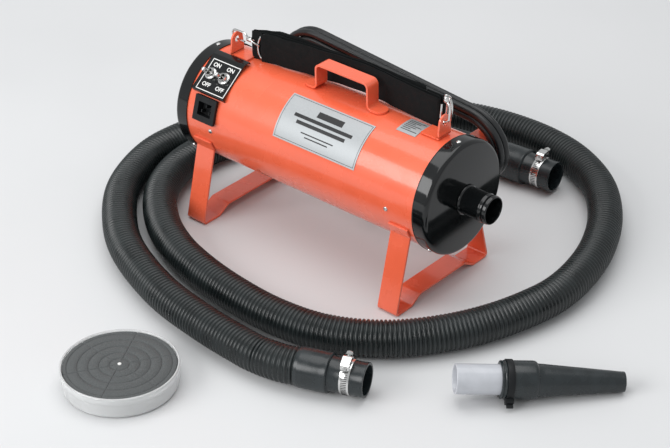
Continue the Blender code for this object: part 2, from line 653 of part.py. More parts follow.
def cuff(name, mouth, turn, clamp_angle):
    """A stepped cuff over the hose's end, with a worm-drive clamp on its narrow part."""
    a = math.radians(turn)
    forward = Vector((math.cos(a), math.sin(a), 0))
    place = facing((*mouth, CUFF_Z), -forward)
    big, small, bore = 0.0262, 0.0221, 0.01935
    grip = HOSE_INSET - GAP
    body = [(bore, 0.0), (small, 0.0), (small, 0.0465), (big, 0.0485), (big, CUFF_LONG),
            (HOSE_D / 2 + 2 * GAP, CUFF_LONG), (HOSE_D / 2 + 2 * GAP, grip), (bore, grip)]
    turned(f"{name}", body, HOSE_RUBBER, place, 28)
    band_in, band_out = small + GAP, small + 0.0012
    band = [(band_in, 0.0175), (band_out, 0.0175), (band_out, 0.0302), (band_in, 0.0302)]
    clamp = meshed(turned(f"{name}_clamp", band, STEEL, place, 28))
    up = place @ Matrix.Rotation(math.radians(clamp_angle), 4, "Z")
    housing = box(f"join_{name}_clamp_housing", (0.0105, 0.0190, 0.0118), STEEL,
                  up @ Matrix.Translation((band_out + 0.0042, 0.0030, 0.02385)), cutters)
    bore_tool = rod(f"cut_{name}_clamp_bore", 0.0041, 0.03, STEEL,
                    up @ Matrix.Translation((band_out + 0.0049, 0, 0.02385))
                    @ Matrix.Rotation(math.pi / 2, 4, "X"), 14, cutters)
    boolean(boolean(clamp, housing, "UNION"), bore_tool, "DIFFERENCE")
    screw = [(0.0, -0.0090), (0.0036, -0.0090), (0.0036, 0.0136), (0.0044, 0.0136),
             (0.0044, 0.0190), (0.0, 0.0190)]
    turned(f"{name}_clamp_screw", screw, STEEL,
           up @ Matrix.Translation((band_out + 0.0049, 0, 0.02385))
           @ Matrix.Rotation(-math.pi / 2, 4, "X"), 10)


# ---------------------------------------------------------------- nozzle and filter
def nozzle():
    a, dip = math.radians(NOZZLE_TURN), math.radians(NOZZLE_DIP)
    forward = (math.cos(a) * math.cos(dip), math.sin(a) * math.cos(dip), -math.sin(dip))
    place = facing(NOZZLE_MOUTH, forward)
    tube_r, wall = 0.0190, 0.0022
    tube = [(tube_r - wall, 0.0), (tube_r, 0.0), (tube_r, 0.0930), (tube_r - wall, 0.0930)]
    turned("nozzle_tube", tube, GREY_PVC, place, 32)
    bore = tube_r + GAP
    outside = [(bore, 0.0560), (0.0238, 0.0560), (0.0242, 0.0600), (0.0242, 0.0980),
               (0.0235, 0.1010), (0.0210, 0.1030), (0.0205, 0.1100), (0.0130, 0.2125)]
    inside = [(0.0105, 0.2125), (0.0168, 0.1080), (bore, 0.0933)]
    turned("nozzle_cone", outside + inside, HOSE_RUBBER, place, 32)
    tie = [(0.0245, 0.0630), (0.0258, 0.0630), (0.0258, 0.0705), (0.0245, 0.0705)]
    band = meshed(turned("nozzle_tie", tie, BLACK_PLASTIC, place, 32))
    head_place = place @ Matrix.Rotation(math.radians(TIE_TURN), 4, "Z")
    head = box("join_tie_head", (0.0062, 0.0095, 0.0095), BLACK_PLASTIC,
               head_place @ Matrix.Translation((0.0280, 0, 0.06675)), cutters)
    boolean(band, head, "UNION")


def spare_filter():
    """A clear dish with a foam disc lying in it."""
    place = Matrix.Translation(DISH_CENTRE)
    wall, high = 0.0014, 0.0300
    dish = [(0.0, 0.0), (DISH_R - 0.003, 0.0), (DISH_R - 0.0005, 0.0025),
            (DISH_R, high - 0.010), (DISH_R + 0.0012, high - 0.010), (DISH_R + 0.0012, high),
            (DISH_R - wall, high), (DISH_R - wall - 0.0008, 0.0035),
            (DISH_R - wall - 0.003, wall), (0.0, wall)]
    turned("filter_dish", dish, CLEAR, place, 40)
    foam = [(0.0, wall + GAP), (0.0685, wall + GAP), (0.0712, wall + 0.0034),
            (0.0716, high - 0.0030), (0.0700, high - 0.0008), (0.0, high - 0.0008)]
    turned("foam_filter", foam, FOAM, place, 36)


# ---------------------------------------------------------------- build it
body_tube()
end_caps()
stand("stand_left", -STAND_X)
stand("stand_right", STAND_X)
handle()
lug("lug_left", LUG_X[0], 1)
lug("lug_right", LUG_X[1], -1)
cord_bracket("cord_bracket_left", HANK_CENTRE[0] - 0.1535, 0.2080)
cord_bracket("cord_bracket_right", HANK_CENTRE[0] + 0.1535, 0.1828)
switch_plate()
for index, toggle_x in enumerate(TOGGLE_X):
    toggle(index + 1, toggle_x)
power_inlet()
label("name_plate", -0.0434, 0.0993, 111.3, 159.5, ALUMINIUM)
label("rating_plate", 0.1265, 0.1580, 82.0, 105.5, ALUMINIUM)
motor(1, -0.1440)
motor(2, 0.0150)
shoulder_strap()
strap_ring("strap_ring_left", (-0.1320, 0.0040, 0.2325), (-0.1268, 0.0055, 0.2690),
           (-0.0095, -0.0010, 0.0010))
strap_ring("strap_ring_right", (0.1750, 0.0188, 0.2318), (0.1820, 0.0160, 0.2768),
           (0.0095, -0.0020, 0.0020))
hook("strap_left", (LUG_X[0] + 0.0292, 0.0, LUG_HOLE_Z + HOOK_BEND), (-1, 0, 0), (0, 0, 1))
hook("strap_right", (LUG_X[1], 0.0040, LUG_HOLE_Z - 0.0005 + HOOK_LONG),
     (0, -0.0040, -HOOK_LONG), (1, 0, 0))
power_cord()
hose()
cuff("cuff_a", CUFF_A_MOUTH, CUFF_A_TURN, 66)
cuff("cuff_b", CUFF_B_MOUTH, CUFF_B_TURN, 86)
nozzle()
spare_filter()
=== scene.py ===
"""Looks of a portable pet dryer with its hose, nozzle, spare filter and power cord.

Every piece is laid out about the dryer's own centre, on the floor under the body's middle,
with X along the body towards its outlet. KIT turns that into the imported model's frame.
"""
import json
import math

import bmesh
import bpy
from mathutils import Matrix, Vector

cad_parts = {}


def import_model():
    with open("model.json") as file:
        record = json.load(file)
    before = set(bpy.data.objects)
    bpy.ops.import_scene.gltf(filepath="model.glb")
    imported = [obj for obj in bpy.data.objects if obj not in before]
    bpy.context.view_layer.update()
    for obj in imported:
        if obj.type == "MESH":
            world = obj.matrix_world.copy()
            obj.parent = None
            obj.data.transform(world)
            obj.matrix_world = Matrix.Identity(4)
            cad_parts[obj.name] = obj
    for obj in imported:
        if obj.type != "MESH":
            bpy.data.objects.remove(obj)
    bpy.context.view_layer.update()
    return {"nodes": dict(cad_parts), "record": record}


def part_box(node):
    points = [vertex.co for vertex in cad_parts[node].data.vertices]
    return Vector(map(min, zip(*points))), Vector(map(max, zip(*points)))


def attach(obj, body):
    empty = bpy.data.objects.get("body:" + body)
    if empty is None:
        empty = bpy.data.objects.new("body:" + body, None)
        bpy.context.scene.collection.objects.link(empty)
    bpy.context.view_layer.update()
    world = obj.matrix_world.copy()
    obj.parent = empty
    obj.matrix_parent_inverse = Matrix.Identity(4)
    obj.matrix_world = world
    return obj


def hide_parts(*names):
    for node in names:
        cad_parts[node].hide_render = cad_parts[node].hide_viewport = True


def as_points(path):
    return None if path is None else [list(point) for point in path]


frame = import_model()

MM = 0.001
BODY_LOW, BODY_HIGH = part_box("body_tube")
KIT = Matrix.Translation(((BODY_LOW[0] + BODY_HIGH[0]) / 2, (BODY_LOW[1] + BODY_HIGH[1]) / 2, 0))
AXIS_Z = (BODY_LOW[2] + BODY_HIGH[2]) / 2
BODY_R = (BODY_HIGH[2] - BODY_LOW[2]) / 2
TUBE_HALF = (BODY_HIGH[0] - BODY_LOW[0]) / 2


# ---------------------------------------------------------------- materials
def links(made):
    """A material's nodes, links and shader."""
    tree = made.node_tree
    return tree.nodes, tree.links, tree.nodes["Principled BSDF"]


def finish_of(name, colour, roughness, metallic=0.0, vary=0.15, scale=60.0, bump=0.0,
              bump_scale=400.0, coat=0.0, rough_vary=0.25, specular=0.5):
    """A Principled material with uneven colour and roughness, and a fine bumpy surface."""
    made = bpy.data.materials.new(name)
    made.use_nodes = True
    nodes, join, shader = links(made)
    shader.inputs["Metallic"].default_value = metallic
    shader.inputs["Coat Weight"].default_value = coat
    shader.inputs["Coat Roughness"].default_value = 0.08
    shader.inputs["Specular IOR Level"].default_value = specular
    where = nodes.new("ShaderNodeTexCoord")
    cloud = nodes.new("ShaderNodeTexNoise")
    cloud.inputs["Scale"].default_value = scale
    cloud.inputs["Detail"].default_value = 5.0
    join.new(where.outputs["Object"], cloud.inputs["Vector"])
    tint = nodes.new("ShaderNodeValToRGB")
    tint.color_ramp.elements[0].position = 0.3
    tint.color_ramp.elements[1].position = 0.7
    tint.color_ramp.elements[0].color = (*[c * (1 - vary) for c in colour], 1)
    tint.color_ramp.elements[1].color = (*[min(1, c * (1 + vary)) for c in colour], 1)
    join.new(cloud.outputs["Fac"], tint.inputs["Fac"])
    join.new(tint.outputs["Color"], shader.inputs["Base Color"])
    gloss = nodes.new("ShaderNodeMapRange")
    gloss.inputs["From Min"].default_value = 0.3
    gloss.inputs["From Max"].default_value = 0.7
    gloss.inputs["To Min"].default_value = roughness * (1 - rough_vary)
    gloss.inputs["To Max"].default_value = min(1.0, roughness * (1 + rough_vary))
    join.new(cloud.outputs["Fac"], gloss.inputs["Value"])
    join.new(gloss.outputs["Result"], shader.inputs["Roughness"])
    if bump:
        grain = nodes.new("ShaderNodeTexNoise")
        grain.inputs["Scale"].default_value = bump_scale
        grain.inputs["Detail"].default_value = 4.0
        join.new(where.outputs["Object"], grain.inputs["Vector"])
        relief = nodes.new("ShaderNodeBump")
        relief.inputs["Strength"].default_value = bump
        relief.inputs["Distance"].default_value = 0.3 * MM
        join.new(grain.outputs["Fac"], relief.inputs["Height"])
        join.new(relief.outputs["Normal"], shader.inputs["Normal"])
    return made


def add_weave(made, pitch_along, pitch_up, strength):
    """Crossed threads: fine ribs along the band and finer ones across it."""
    nodes, join, shader = links(made)
    where = nodes.new("ShaderNodeTexCoord")
    heights = []
    for direction, pitch in (("Z", pitch_up), ("X", pitch_along)):
        wave = nodes.new("ShaderNodeTexWave")
        wave.bands_direction = direction
        wave.inputs["Scale"].default_value = 0.314 / pitch
        wave.inputs["Distortion"].default_value = 0.6
        wave.inputs["Detail"].default_value = 1.0
        join.new(where.outputs["Object"], wave.inputs["Vector"])
        heights.append(wave.outputs["Fac"])
    both = nodes.new("ShaderNodeMath")
    both.operation = "MULTIPLY"
    join.new(heights[0], both.inputs[0])
    join.new(heights[1], both.inputs[1])
    relief = nodes.new("ShaderNodeBump")
    relief.inputs["Strength"].default_value = strength
    relief.inputs["Distance"].default_value = 0.5 * MM
    join.new(both.outputs[0], relief.inputs["Height"])
    join.new(relief.outputs["Normal"], shader.inputs["Normal"])
    return made


CORAL = finish_of("coral_powder_coat", (0.86, 0.138, 0.062), 0.27, 0, 0.03, 30, 0.04, 500,
                  coat=0.5)
BLACK_GLOSS = finish_of("black_gloss_enamel", (0.004, 0.0048, 0.0052), 0.09, 0, 0.2, 40, 0.02, 300)
BLACK_PLASTIC = finish_of("black_plastic", (0.007, 0.008, 0.009), 0.45, 0, 0.2, 80, 0.15, 900,
                          specular=0.25)
CUFF_VINYL = finish_of("cuff_vinyl", (0.013, 0.018, 0.020), 0.27, 0, 0.25, 50, 0.12, 500)
HOSE_VINYL = finish_of("hose_vinyl", (0.010, 0.014, 0.0145), 0.30, 0, 0.35, 35, 0.10, 800)
CORD_JACKET = finish_of("cord_jacket", (0.009, 0.0105, 0.0115), 0.36, 0, 0.2, 60, 0.08, 900)
WEBBING = add_weave(finish_of("black_webbing", (0.0050, 0.0062, 0.0066), 0.88, 0, 0.3, 120,
                              specular=0.2), 1.5 * MM, 1.9 * MM, 0.8)
STEEL = finish_of("bright_steel", (0.66, 0.66, 0.65), 0.16, 1.0, 0.12, 180, 0.04, 600)
SATIN_STEEL = finish_of("satin_steel", (0.52, 0.53, 0.54), 0.34, 1.0, 0.15, 90, 0.08, 500)
COPPER = finish_of("motor_copper", (0.55, 0.24, 0.12), 0.4, 0.8, 0.3, 200, 0.2, 900)
ALUMINIUM = finish_of("cast_aluminium", (0.62, 0.63, 0.64), 0.36, 1.0, 0.1, 90, 0.08, 600)
PLATE_SILVER = finish_of("silver_foil", (0.43, 0.45, 0.46), 0.45, 0.3, 0.08, 900, 0.05, 1500)
# Black ink for the plates' print and the clamp bands' slots; in the clamp screws' heads it is
# painted shade standing in for the slot's recess.
INK_AND_PAINTED_SHADE = finish_of("black_ink_and_painted_shade", (0.015, 0.015, 0.016), 0.5, 0, 0.2, 200)
WHITE_INK = finish_of("white_ink", (0.82, 0.82, 0.80), 0.5, 0, 0.04, 200)
GREY_PVC = finish_of("grey_pvc", (0.50, 0.515, 0.55), 0.22, 0, 0.06, 60, 0.05, 700)
FOAM = finish_of("grey_foam", (0.088, 0.094, 0.095), 0.95, 0, 0.35, 900, 0.9, 1400, rough_vary=0.05)


def clear_plastic():
    """Milky, half-clear moulded plastic."""
    made = finish_of("clear_plastic", (0.95, 0.96, 0.96), 0.10, 0, 0.02, 50)
    shader = made.node_tree.nodes["Principled BSDF"]
    shader.inputs["Transmission Weight"].default_value = 0.52
    shader.inputs["Coat Weight"].default_value = 0.6
    shader.inputs["IOR"].default_value = 1.45
    return made


CLEAR = clear_plastic()

LOOKS = {"coral_paint": CORAL, "black_gloss": BLACK_GLOSS, "black_plastic": BLACK_PLASTIC,
         "cord_jacket": CORD_JACKET, "hose_rubber": CUFF_VINYL, "webbing": WEBBING,
         "bright_steel": STEEL, "satin_steel": SATIN_STEEL, "wound_rotor": COPPER,
         "aluminium": ALUMINIUM, "grey_pvc": GREY_PVC, "clear_plastic": CLEAR,
         "grey_foam": FOAM}


def dress_cad_nodes():
    """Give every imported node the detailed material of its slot."""
    for entry in frame["record"]["subparts"]:
        node = frame["nodes"][entry["node"]]
        node.data.materials.clear()
        node.data.materials.append(LOOKS[entry["material_slot"]])


# ---------------------------------------------------------------- building helpers
def linked(name, data):
    """A new object in the scene."""
    made = bpy.data.objects.new(name, data)
    bpy.context.scene.collection.objects.link(made)
    return made


def settled(holder):
    """An object's mesh with its modifiers or its curve worked out."""
    bpy.context.view_layer.update()
    return bpy.data.meshes.new_from_object(
        holder.evaluated_get(bpy.context.evaluated_depsgraph_get()))


def shift(x, y, z):
    return Matrix.Translation((x, y, z))


def spin(degrees, axis="Z"):
    return Matrix.Rotation(math.radians(degrees), 4, axis)


def polar(radius, degrees):
    """A point on a circle about the origin."""
    return radius * math.cos(math.radians(degrees)), radius * math.sin(math.radians(degrees))


def soft_step(t):
    """0 to 1 with a level start and end."""
    return t * t * (3 - 2 * t)


def new_piece(name, mesh, look, body, place=None, replaces=(), sharp=35, bevel=0.0):
    """Link a mesh as a piece that rides on a body, placed in the dryer's coordinates."""
    made = linked(name, mesh)
    mesh.materials.clear()
    mesh.materials.append(look)
    mesh.shade_smooth()
    mesh.set_sharp_from_angle(angle=math.radians(sharp))
    if place is not None:
        mesh.transform(place)
    made.matrix_world = KIT
    if bevel:
        edge = made.modifiers.new("edges", "BEVEL")
        edge.width = bevel
        edge.segments = 2
        edge.limit_method = "ANGLE"
        edge.angle_limit = math.radians(35)
        edge.harden_normals = True
    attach(made, body)
    if replaces:
        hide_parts(*replaces)
    return made


def mesh_of(shape, name):
    """Turn a bmesh into a mesh whose faces point out."""
    bmesh.ops.recalc_face_normals(shape, faces=shape.faces)
    mesh = bpy.data.meshes.new(name)
    shape.to_mesh(mesh)
    shape.free()
    return mesh


def lathe(name, profile, sides=64):
    """Turn a (radius, height) profile about Z."""
    shape = bmesh.new()
    rings = []
    for r, z in profile:
        if r < 1e-7:
            rings.append([shape.verts.new((0, 0, z))])
            continue
        rings.append([shape.verts.new((r * math.cos(2 * math.pi * i / sides),
                                       r * math.sin(2 * math.pi * i / sides), z))
                      for i in range(sides)])
    pairs = list(zip(rings, rings[1:]))
    if len(rings[0]) > 1 and len(rings[-1]) > 1:
        pairs.append((rings[-1], rings[0]))
    for a, b in pairs:
        for i in range(sides):
            j = (i + 1) % sides
            corners = [a[i % len(a)], a[j % len(a)], b[j % len(b)], b[i % len(b)]]
            unique = list(dict.fromkeys(corners))
            if len(unique) > 2:
                shape.faces.new(unique)
    return mesh_of(shape, name)


def lathe_mm(name, profile, sides=64):
    """A lathe whose profile is given in millimetres."""
    return lathe(name, [(r * MM, z * MM) for r, z in profile], sides)


def rounded_profile(points, radii, steps=5):
    """A (radius, height) profile whose inner corners are rounded."""
    if not hasattr(radii, "__len__"):
        radii = [radii] * (len(points) - 2)
    path = [Vector(points[0])]
    for before, corner, after, radius in zip(points, points[1:], points[2:], radii):
        before, corner, after = Vector(before), Vector(corner), Vector(after)
        back, on = (before - corner).normalized(), (after - corner).normalized()
        half = back.angle(on) / 2
        if radius <= 0 or half > math.radians(88):
            path.append(corner)
            continue
        reach = min(radius / math.tan(half), 0.45 * (before - corner).length,
                    0.45 * (after - corner).length)
        centre = corner + (back + on).normalized() * (reach / math.cos(half))
        start, end = corner + back * reach, corner + on * reach
        for i in range(steps + 1):
            ray = (start - centre).lerp(end - centre, i / steps)
            path.append(centre + ray.normalized() * (reach * math.tan(half)))
    path.append(Vector(points[-1]))
    return [tuple(p) for p in path]


def arc(centre, radius, start, end, steps):
    """Points on a circle, from one angle to another, both in degrees."""
    return [(centre[0] + radius * math.cos(math.radians(start + (end - start) * i / steps)),
             centre[1] + radius * math.sin(math.radians(start + (end - start) * i / steps)))
            for i in range(steps + 1)]


def bent_strip(name, path, width, thickness):
    """A strip of sheet that follows a path in XY and is wide along Z."""
    path = [Vector(p) for p in path]
    shape = bmesh.new()
    rings = []
    closed = (path[0] - path[-1]).length < 1e-6
    if closed:
        path = path[:-1]
    count = len(path)
    for i, point in enumerate(path):
        before = path[(i - 1) % count] if closed or i else point
        after = path[(i + 1) % count] if closed or i < count - 1 else point
        inward = (point - before).normalized() if (point - before).length else None
        onward = (after - point).normalized() if (after - point).length else None
        inward, onward = inward or onward, onward or inward
        along = (inward + onward).normalized()
        square = Vector((-along.y, along.x))
        reach = thickness / 2 / max(0.4, square.dot(Vector((-onward.y, onward.x))))
        rings.append([shape.verts.new((*(point + square * reach * s), width / 2 * t))
                      for s, t in ((1, 1), (-1, 1), (-1, -1), (1, -1))])
    pairs = list(zip(rings, rings[1:] + ([rings[0]] if closed else [])))
    for a, b in pairs:
        for i in range(4):
            shape.faces.new((a[i], a[(i + 1) % 4], b[(i + 1) % 4], b[i]))
    if not closed:
        shape.faces.new(rings[0][::-1])
        shape.faces.new(rings[-1])
    return mesh_of(shape, name)


def plate(name, outline, thickness, holes=()):
    """A flat plate in XY with holes, thickened evenly to both sides."""
    curve = bpy.data.curves.new(name, "CURVE")
    curve.dimensions = "2D"
    curve.fill_mode = "BOTH"
    curve.extrude = thickness / 2
    for loop in (outline, *holes):
        spline = curve.splines.new("POLY")
        spline.points.add(len(loop) - 1)
        for point, xy in zip(spline.points, loop):
            point.co = (xy[0], xy[1], 0, 1)
        spline.use_cyclic_u = True
    holder = linked(name, curve)
    made = settled(holder)
    bpy.data.objects.remove(holder, do_unlink=True)
    shape = bmesh.new()
    shape.from_mesh(made)
    bmesh.ops.remove_doubles(shape, verts=shape.verts, dist=1e-6)
    bpy.data.meshes.remove(made)
    return mesh_of(shape, name)


def block(name, size, place=None):
    """A box mesh, about its own centre or moved by a matrix."""
    shape = bmesh.new()
    bmesh.ops.create_cube(shape, size=1.0)
    bmesh.ops.scale(shape, vec=size, verts=shape.verts)
    if place is not None:
        bmesh.ops.transform(shape, matrix=place, verts=shape.verts)
    return mesh_of(shape, name)


def joined(name, meshes):
    """Several meshes as one."""
    shape = bmesh.new()
    for mesh in meshes:
        shape.from_mesh(mesh)
        bpy.data.meshes.remove(mesh)
    made = bpy.data.meshes.new(name)
    shape.to_mesh(made)
    shape.free()
    return made


def moved(mesh, place):
    """The same mesh, moved by a matrix."""
    mesh.transform(place)
    return mesh


def tube(name, points, radius, sides=16, cyclic=False):
    """A round bar along the points, with capped ends. Radius may be a number or a list."""
    points = [Vector(p) for p in points]
    count = len(points)
    radii = radius if hasattr(radius, "__len__") else [radius] * count
    shape = bmesh.new()
    rings, normal = [], None
    for i, point in enumerate(points):
        before = points[(i - 1) % count] if cyclic or i else point
        after = points[(i + 1) % count] if cyclic or i < count - 1 else point
        along = (after - before).normalized()
        if normal is None:
            normal = along.orthogonal().normalized()
            if abs(along.z) < 0.9:
                normal = Vector((0, 0, 1)).cross(along).normalized()
        normal = (normal - along * normal.dot(along)).normalized()
        other = along.cross(normal)
        rings.append([shape.verts.new(point + radii[i] * (math.cos(a) * normal
                                                          + math.sin(a) * other))
                      for a in (2 * math.pi * k / sides for k in range(sides))])
    for a, b in list(zip(rings, rings[1:])) + ([(rings[-1], rings[0])] if cyclic else []):
        for k in range(sides):
            m = (k + 1) % sides
            shape.faces.new((a[k], a[m], b[m], b[k]))
    if not cyclic:
        shape.faces.new(rings[0][::-1])
        shape.faces.new(rings[-1])
    return mesh_of(shape, name)


def smooth_route(points, spacing):
    """Points a given distance apart on the Catmull-Rom curve through a route."""
    route = [Vector(point) for point in points]
    route = [2 * route[0] - route[1], *route, 2 * route[-1] - route[-2]]
    dense = []
    for a, b, c, d in zip(route, route[1:], route[2:], route[3:]):
        for i in range(24):
            t = i / 24
            dense.append(0.5 * (2 * b + (c - a) * t + (2 * a - 5 * b + 4 * c - d) * t * t
                                + (3 * b - a - 3 * c + d) * t ** 3))
    dense.append(route[-2])
    total = sum((q - p).length for p, q in zip(dense, dense[1:]))
    step = total / max(1, round(total / spacing))
    picked, run, target = [dense[0]], 0.0, step
    for p, q in zip(dense, dense[1:]):
        length = (q - p).length
        while run + length >= target - 1e-9 and target < total - step / 2:
            picked.append(p.lerp(q, (target - run) / length))
            target += step
        run += length
    picked.append(dense[-1])
    return picked


def length_of(points):
    return sum((q - p).length for p, q in zip(points, points[1:]))


def on_tube(x, angle, radius=0.0):
    """A place on the body: local Z points out of the tube, local X runs along it."""
    a = math.radians(angle)
    centre = Vector((x, radius * math.cos(a), AXIS_Z + radius * math.sin(a)))
    return Matrix.Translation(centre) @ Matrix.Rotation(a - math.pi / 2, 4, "X")


def across(x):
    """A plane square to X: local X is world Y, local Y is world Z."""
    return Matrix.Translation((x, 0, 0)) @ Matrix(((0, 0, 1, 0), (1, 0, 0, 0), (0, 1, 0, 0),
                                                    (0, 0, 0, 1)))


def facing(centre, direction):
    """A place whose local Z points in a direction."""
    turn = Vector(direction).normalized().to_track_quat("Z", "Y").to_matrix().to_4x4()
    return Matrix.Translation(centre) @ turn


def world(points):
    """Points of the dryer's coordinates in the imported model's frame."""
    return [KIT @ Vector(p) for p in points]


# ---------------------------------------------------------------- camera, lights, floor
def camera():
    """The viewing angle: a long lens from the front right, a third of the way up."""
    azimuth, elevation, roll = math.radians(41.677), math.radians(32.167), math.radians(-0.79)
    eye = KIT @ Vector((1.5624, -1.7549, 1.4983))
    back = Vector((math.sin(azimuth) * math.cos(elevation),
                   -math.cos(azimuth) * math.cos(elevation), math.sin(elevation)))
    right = Vector((0, 0, 1)).cross(back).normalized()
    up = back.cross(right)
    tilted_right = right * math.cos(roll) + up * math.sin(roll)
    tilted_up = up * math.cos(roll) - right * math.sin(roll)
    data = bpy.data.cameras.new("camera")
    data.sensor_width = 36.0
    data.lens = 107.54
    made = linked("camera", data)
    turn = Matrix((tilted_right, tilted_up, back)).transposed().to_4x4()
    made.matrix_world = Matrix.Translation(eye) @ turn
    bpy.context.scene.camera = made


def area_light(name, place, target, size, power):
    data = bpy.data.lights.new(name, "AREA")
    data.shape = "RECTANGLE"
    data.size, data.size_y = size
    data.energy = power
    linked(name, data).matrix_world = facing(place, Vector(place) - Vector(target))


def studio():
    """A pale sweep of floor under large soft lights."""
    shape = bmesh.new()
    bmesh.ops.create_grid(shape, x_segments=1, y_segments=1, size=9.0)
    floor = linked("floor", mesh_of(shape, "floor"))
    paper = finish_of("pale_paper", (0.665, 0.67, 0.676), 0.7, 0, 0.01, 3)
    floor.data.materials.append(paper)
    floor.location.z = -0.0004
    sky = bpy.data.worlds.new("studio")
    sky.use_nodes = True
    sky.node_tree.nodes["Background"].inputs["Color"].default_value = (0.97, 0.985, 1.0, 1)
    sky.node_tree.nodes["Background"].inputs["Strength"].default_value = 0.60
    bpy.context.scene.world = sky
    area_light("top", (-0.3, 0.3, 2.6), (0, 0.1, 0.1), (2.6, 2.2), 34)
    area_light("front", (-0.9, -2.6, 1.7), (0, 0, 0.1), (2.6, 1.5), 64)
    bpy.context.scene.view_settings.view_transform = "Standard"


# ---------------------------------------------------------------- screws
def screw_mesh(name, radius, high):
    """A pan head with a cross recess."""
    dome = [(0, high)] + [(radius * math.sin(math.radians(a)), high * (0.35 + 0.65 * math.cos(
        math.radians(a)))) for a in (15, 35, 55, 75, 90)] + [(radius, 0), (0, 0)]
    head = lathe(name, dome, 24)
    holder = linked(name, head)
    cross = joined("cross", [block("bar", (1.35 * radius, 0.28 * radius, high)),
                             block("bar", (0.28 * radius, 1.35 * radius, high))])
    cutter = linked("cross", moved(cross, shift(0, 0, high)))
    cut = holder.modifiers.new("cross", "BOOLEAN")
    cut.operation = "DIFFERENCE"
    cut.use_self = True
    cut.object = cutter
    made = settled(holder)
    bpy.data.objects.remove(holder, do_unlink=True)
    bpy.data.objects.remove(cutter, do_unlink=True)
    return made


def screws():
    head = screw_mesh("screw", 3.3 * MM, 2.0 * MM)
    number = 0
    for x in (-0.157, 0.157):
        for angle in (184, 356):
            number += 1
            new_piece(f"body_screw_{number}", head.copy(), STEEL, "dryer",
                      on_tube(x, angle, BODY_R) @ Matrix.Rotation(0.5 * number, 4, "Z"))
    for side in (-1, 1):
        for angle in (90, 225, 315):
            number += 1
            new_piece(f"cap_screw_{number}", head.copy(), STEEL, "dryer",
                      on_tube(side * 0.2125, angle, CAP_R) @ Matrix.Rotation(number, 4, "Z"))


# ---------------------------------------------------------------- body and caps
CAP_R = (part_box("outlet_end_cap")[1][2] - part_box("outlet_end_cap")[0][2]) / 2
RIM_X = 0.2237
CAP_CROWN = 4.0 * MM
OUTLET_R = 19.05 * MM
OUTLET_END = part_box("outlet_tube")[1][0] - KIT.translation.x
INLET_X, INLET_ANGLE = -0.1662, 162.5
SEAM_ANGLE = 301
STAND_X = 0.1756


def cut_by(target, cutters):
    """Cut holes in a piece with boxes or rods, and keep the result as its mesh."""
    for cutter in cutters:
        change = target.modifiers.new("cut", "BOOLEAN")
        change.operation = "DIFFERENCE"
        change.object = cutter
    mesh = settled(target)
    target.modifiers.clear()
    target.data = mesh
    mesh.set_sharp_from_angle(angle=math.radians(35))
    for cutter in cutters:
        bpy.data.objects.remove(cutter, do_unlink=True)


def helper(name, mesh, place):
    """A loose object used only to cut another."""
    made = linked(name, mesh)
    made.matrix_world = KIT @ place
    return made


def body():
    """The painted tube with its inlet opening and its lengthwise seam."""
    thick = 1.5 * MM
    ring = [(BODY_R, -TUBE_HALF), (BODY_R, TUBE_HALF), (BODY_R - thick, TUBE_HALF),
            (BODY_R - thick, -TUBE_HALF)]
    made = new_piece("body_shell", lathe("body_shell", ring, 160), CORAL, "dryer",
                     facing((0, 0, AXIS_Z), (1, 0, 0)), ("body_tube",))
    cut_by(made, [helper("opening", block("opening", (0.033, 0.028, 0.03)),
                         on_tube(INLET_X, INLET_ANGLE, BODY_R))])
    y, z = polar(BODY_R + 0.15 * MM, SEAM_ANGLE)
    bar = [(x, y, AXIS_Z + z) for x in (-0.19, 0.19)]
    new_piece("body_seam", tube("body_seam", bar, 0.8 * MM, 8), CORAL, "dryer")


def cap_mesh(name, hole):
    flat_r = CAP_R - 6 * MM

    def face(r):
        return RIM_X + CAP_CROWN * (1 - (r / flat_r) ** 2)

    radii = [hole + (flat_r - hole) * i / 7 for i in range(8)]
    outside = [(r, face(r)) for r in radii[:-1]]
    outside += [(flat_r + x, z) for x, z in arc((0, RIM_X - 6 * MM), 6 * MM, 90, 0, 9)]
    outside += [(CAP_R, 0.2026), (CAP_R + 0.5 * MM, 0.2020), (CAP_R + 0.5 * MM, 0.2014)]
    inside = [(CAP_R - 1.2 * MM, 0.2014)]
    inside += [(flat_r + x, z) for x, z in arc((0, RIM_X - 6 * MM), 4.8 * MM, 0, 90, 5)]
    inside += [(r, face(r) - 1.2 * MM) for r in radii[-2::-1]]
    return lathe(name, outside + inside, 160)


def end_caps():
    """Gloss caps at both ends, and the outlet spout with its two beads."""
    right, left = facing((0, 0, AXIS_Z), (1, 0, 0)), facing((0, 0, AXIS_Z), (-1, 0, 0))
    new_piece("outlet_cap", cap_mesh("outlet_cap", OUTLET_R + 0.3 * MM), BLACK_GLOSS,
              "dryer", right, ("outlet_end_cap",))
    new_piece("intake_cap", cap_mesh("intake_cap", 0.056), BLACK_GLOSS, "dryer",
              left, ("intake_end_cap",))
    inner, lip = OUTLET_R - 1.6 * MM, RIM_X + CAP_CROWN + 0.3 * MM
    wall = [(inner, 0.2110), (OUTLET_R, 0.2110), (OUTLET_R, lip), (OUTLET_R + 1.8 * MM, lip),
            (OUTLET_R + 2.0 * MM, lip + 0.8 * MM), (OUTLET_R + 1.2 * MM, lip + 2.0 * MM),
            (OUTLET_R, lip + 2.8 * MM)]
    for centre, reach in ((OUTLET_END - 12 * MM, 1.0 * MM), (OUTLET_END - 4.5 * MM, 0.8 * MM)):
        wall += [(OUTLET_R, centre - 2.4 * MM), (OUTLET_R + 0.8 * reach, centre - 1.1 * MM),
                 (OUTLET_R + reach, centre), (OUTLET_R + 0.8 * reach, centre + 1.1 * MM),
                 (OUTLET_R, centre + 2.4 * MM)]
    wall += [(OUTLET_R, OUTLET_END - 0.5 * MM), (OUTLET_R - 0.5 * MM, OUTLET_END),
             (inner + 0.3 * MM, OUTLET_END), (inner, OUTLET_END - 0.5 * MM)]
    new_piece("outlet_spout", lathe("outlet_spout", wall, 72), BLACK_GLOSS,
              "dryer", right, ("outlet_tube",), sharp=50)


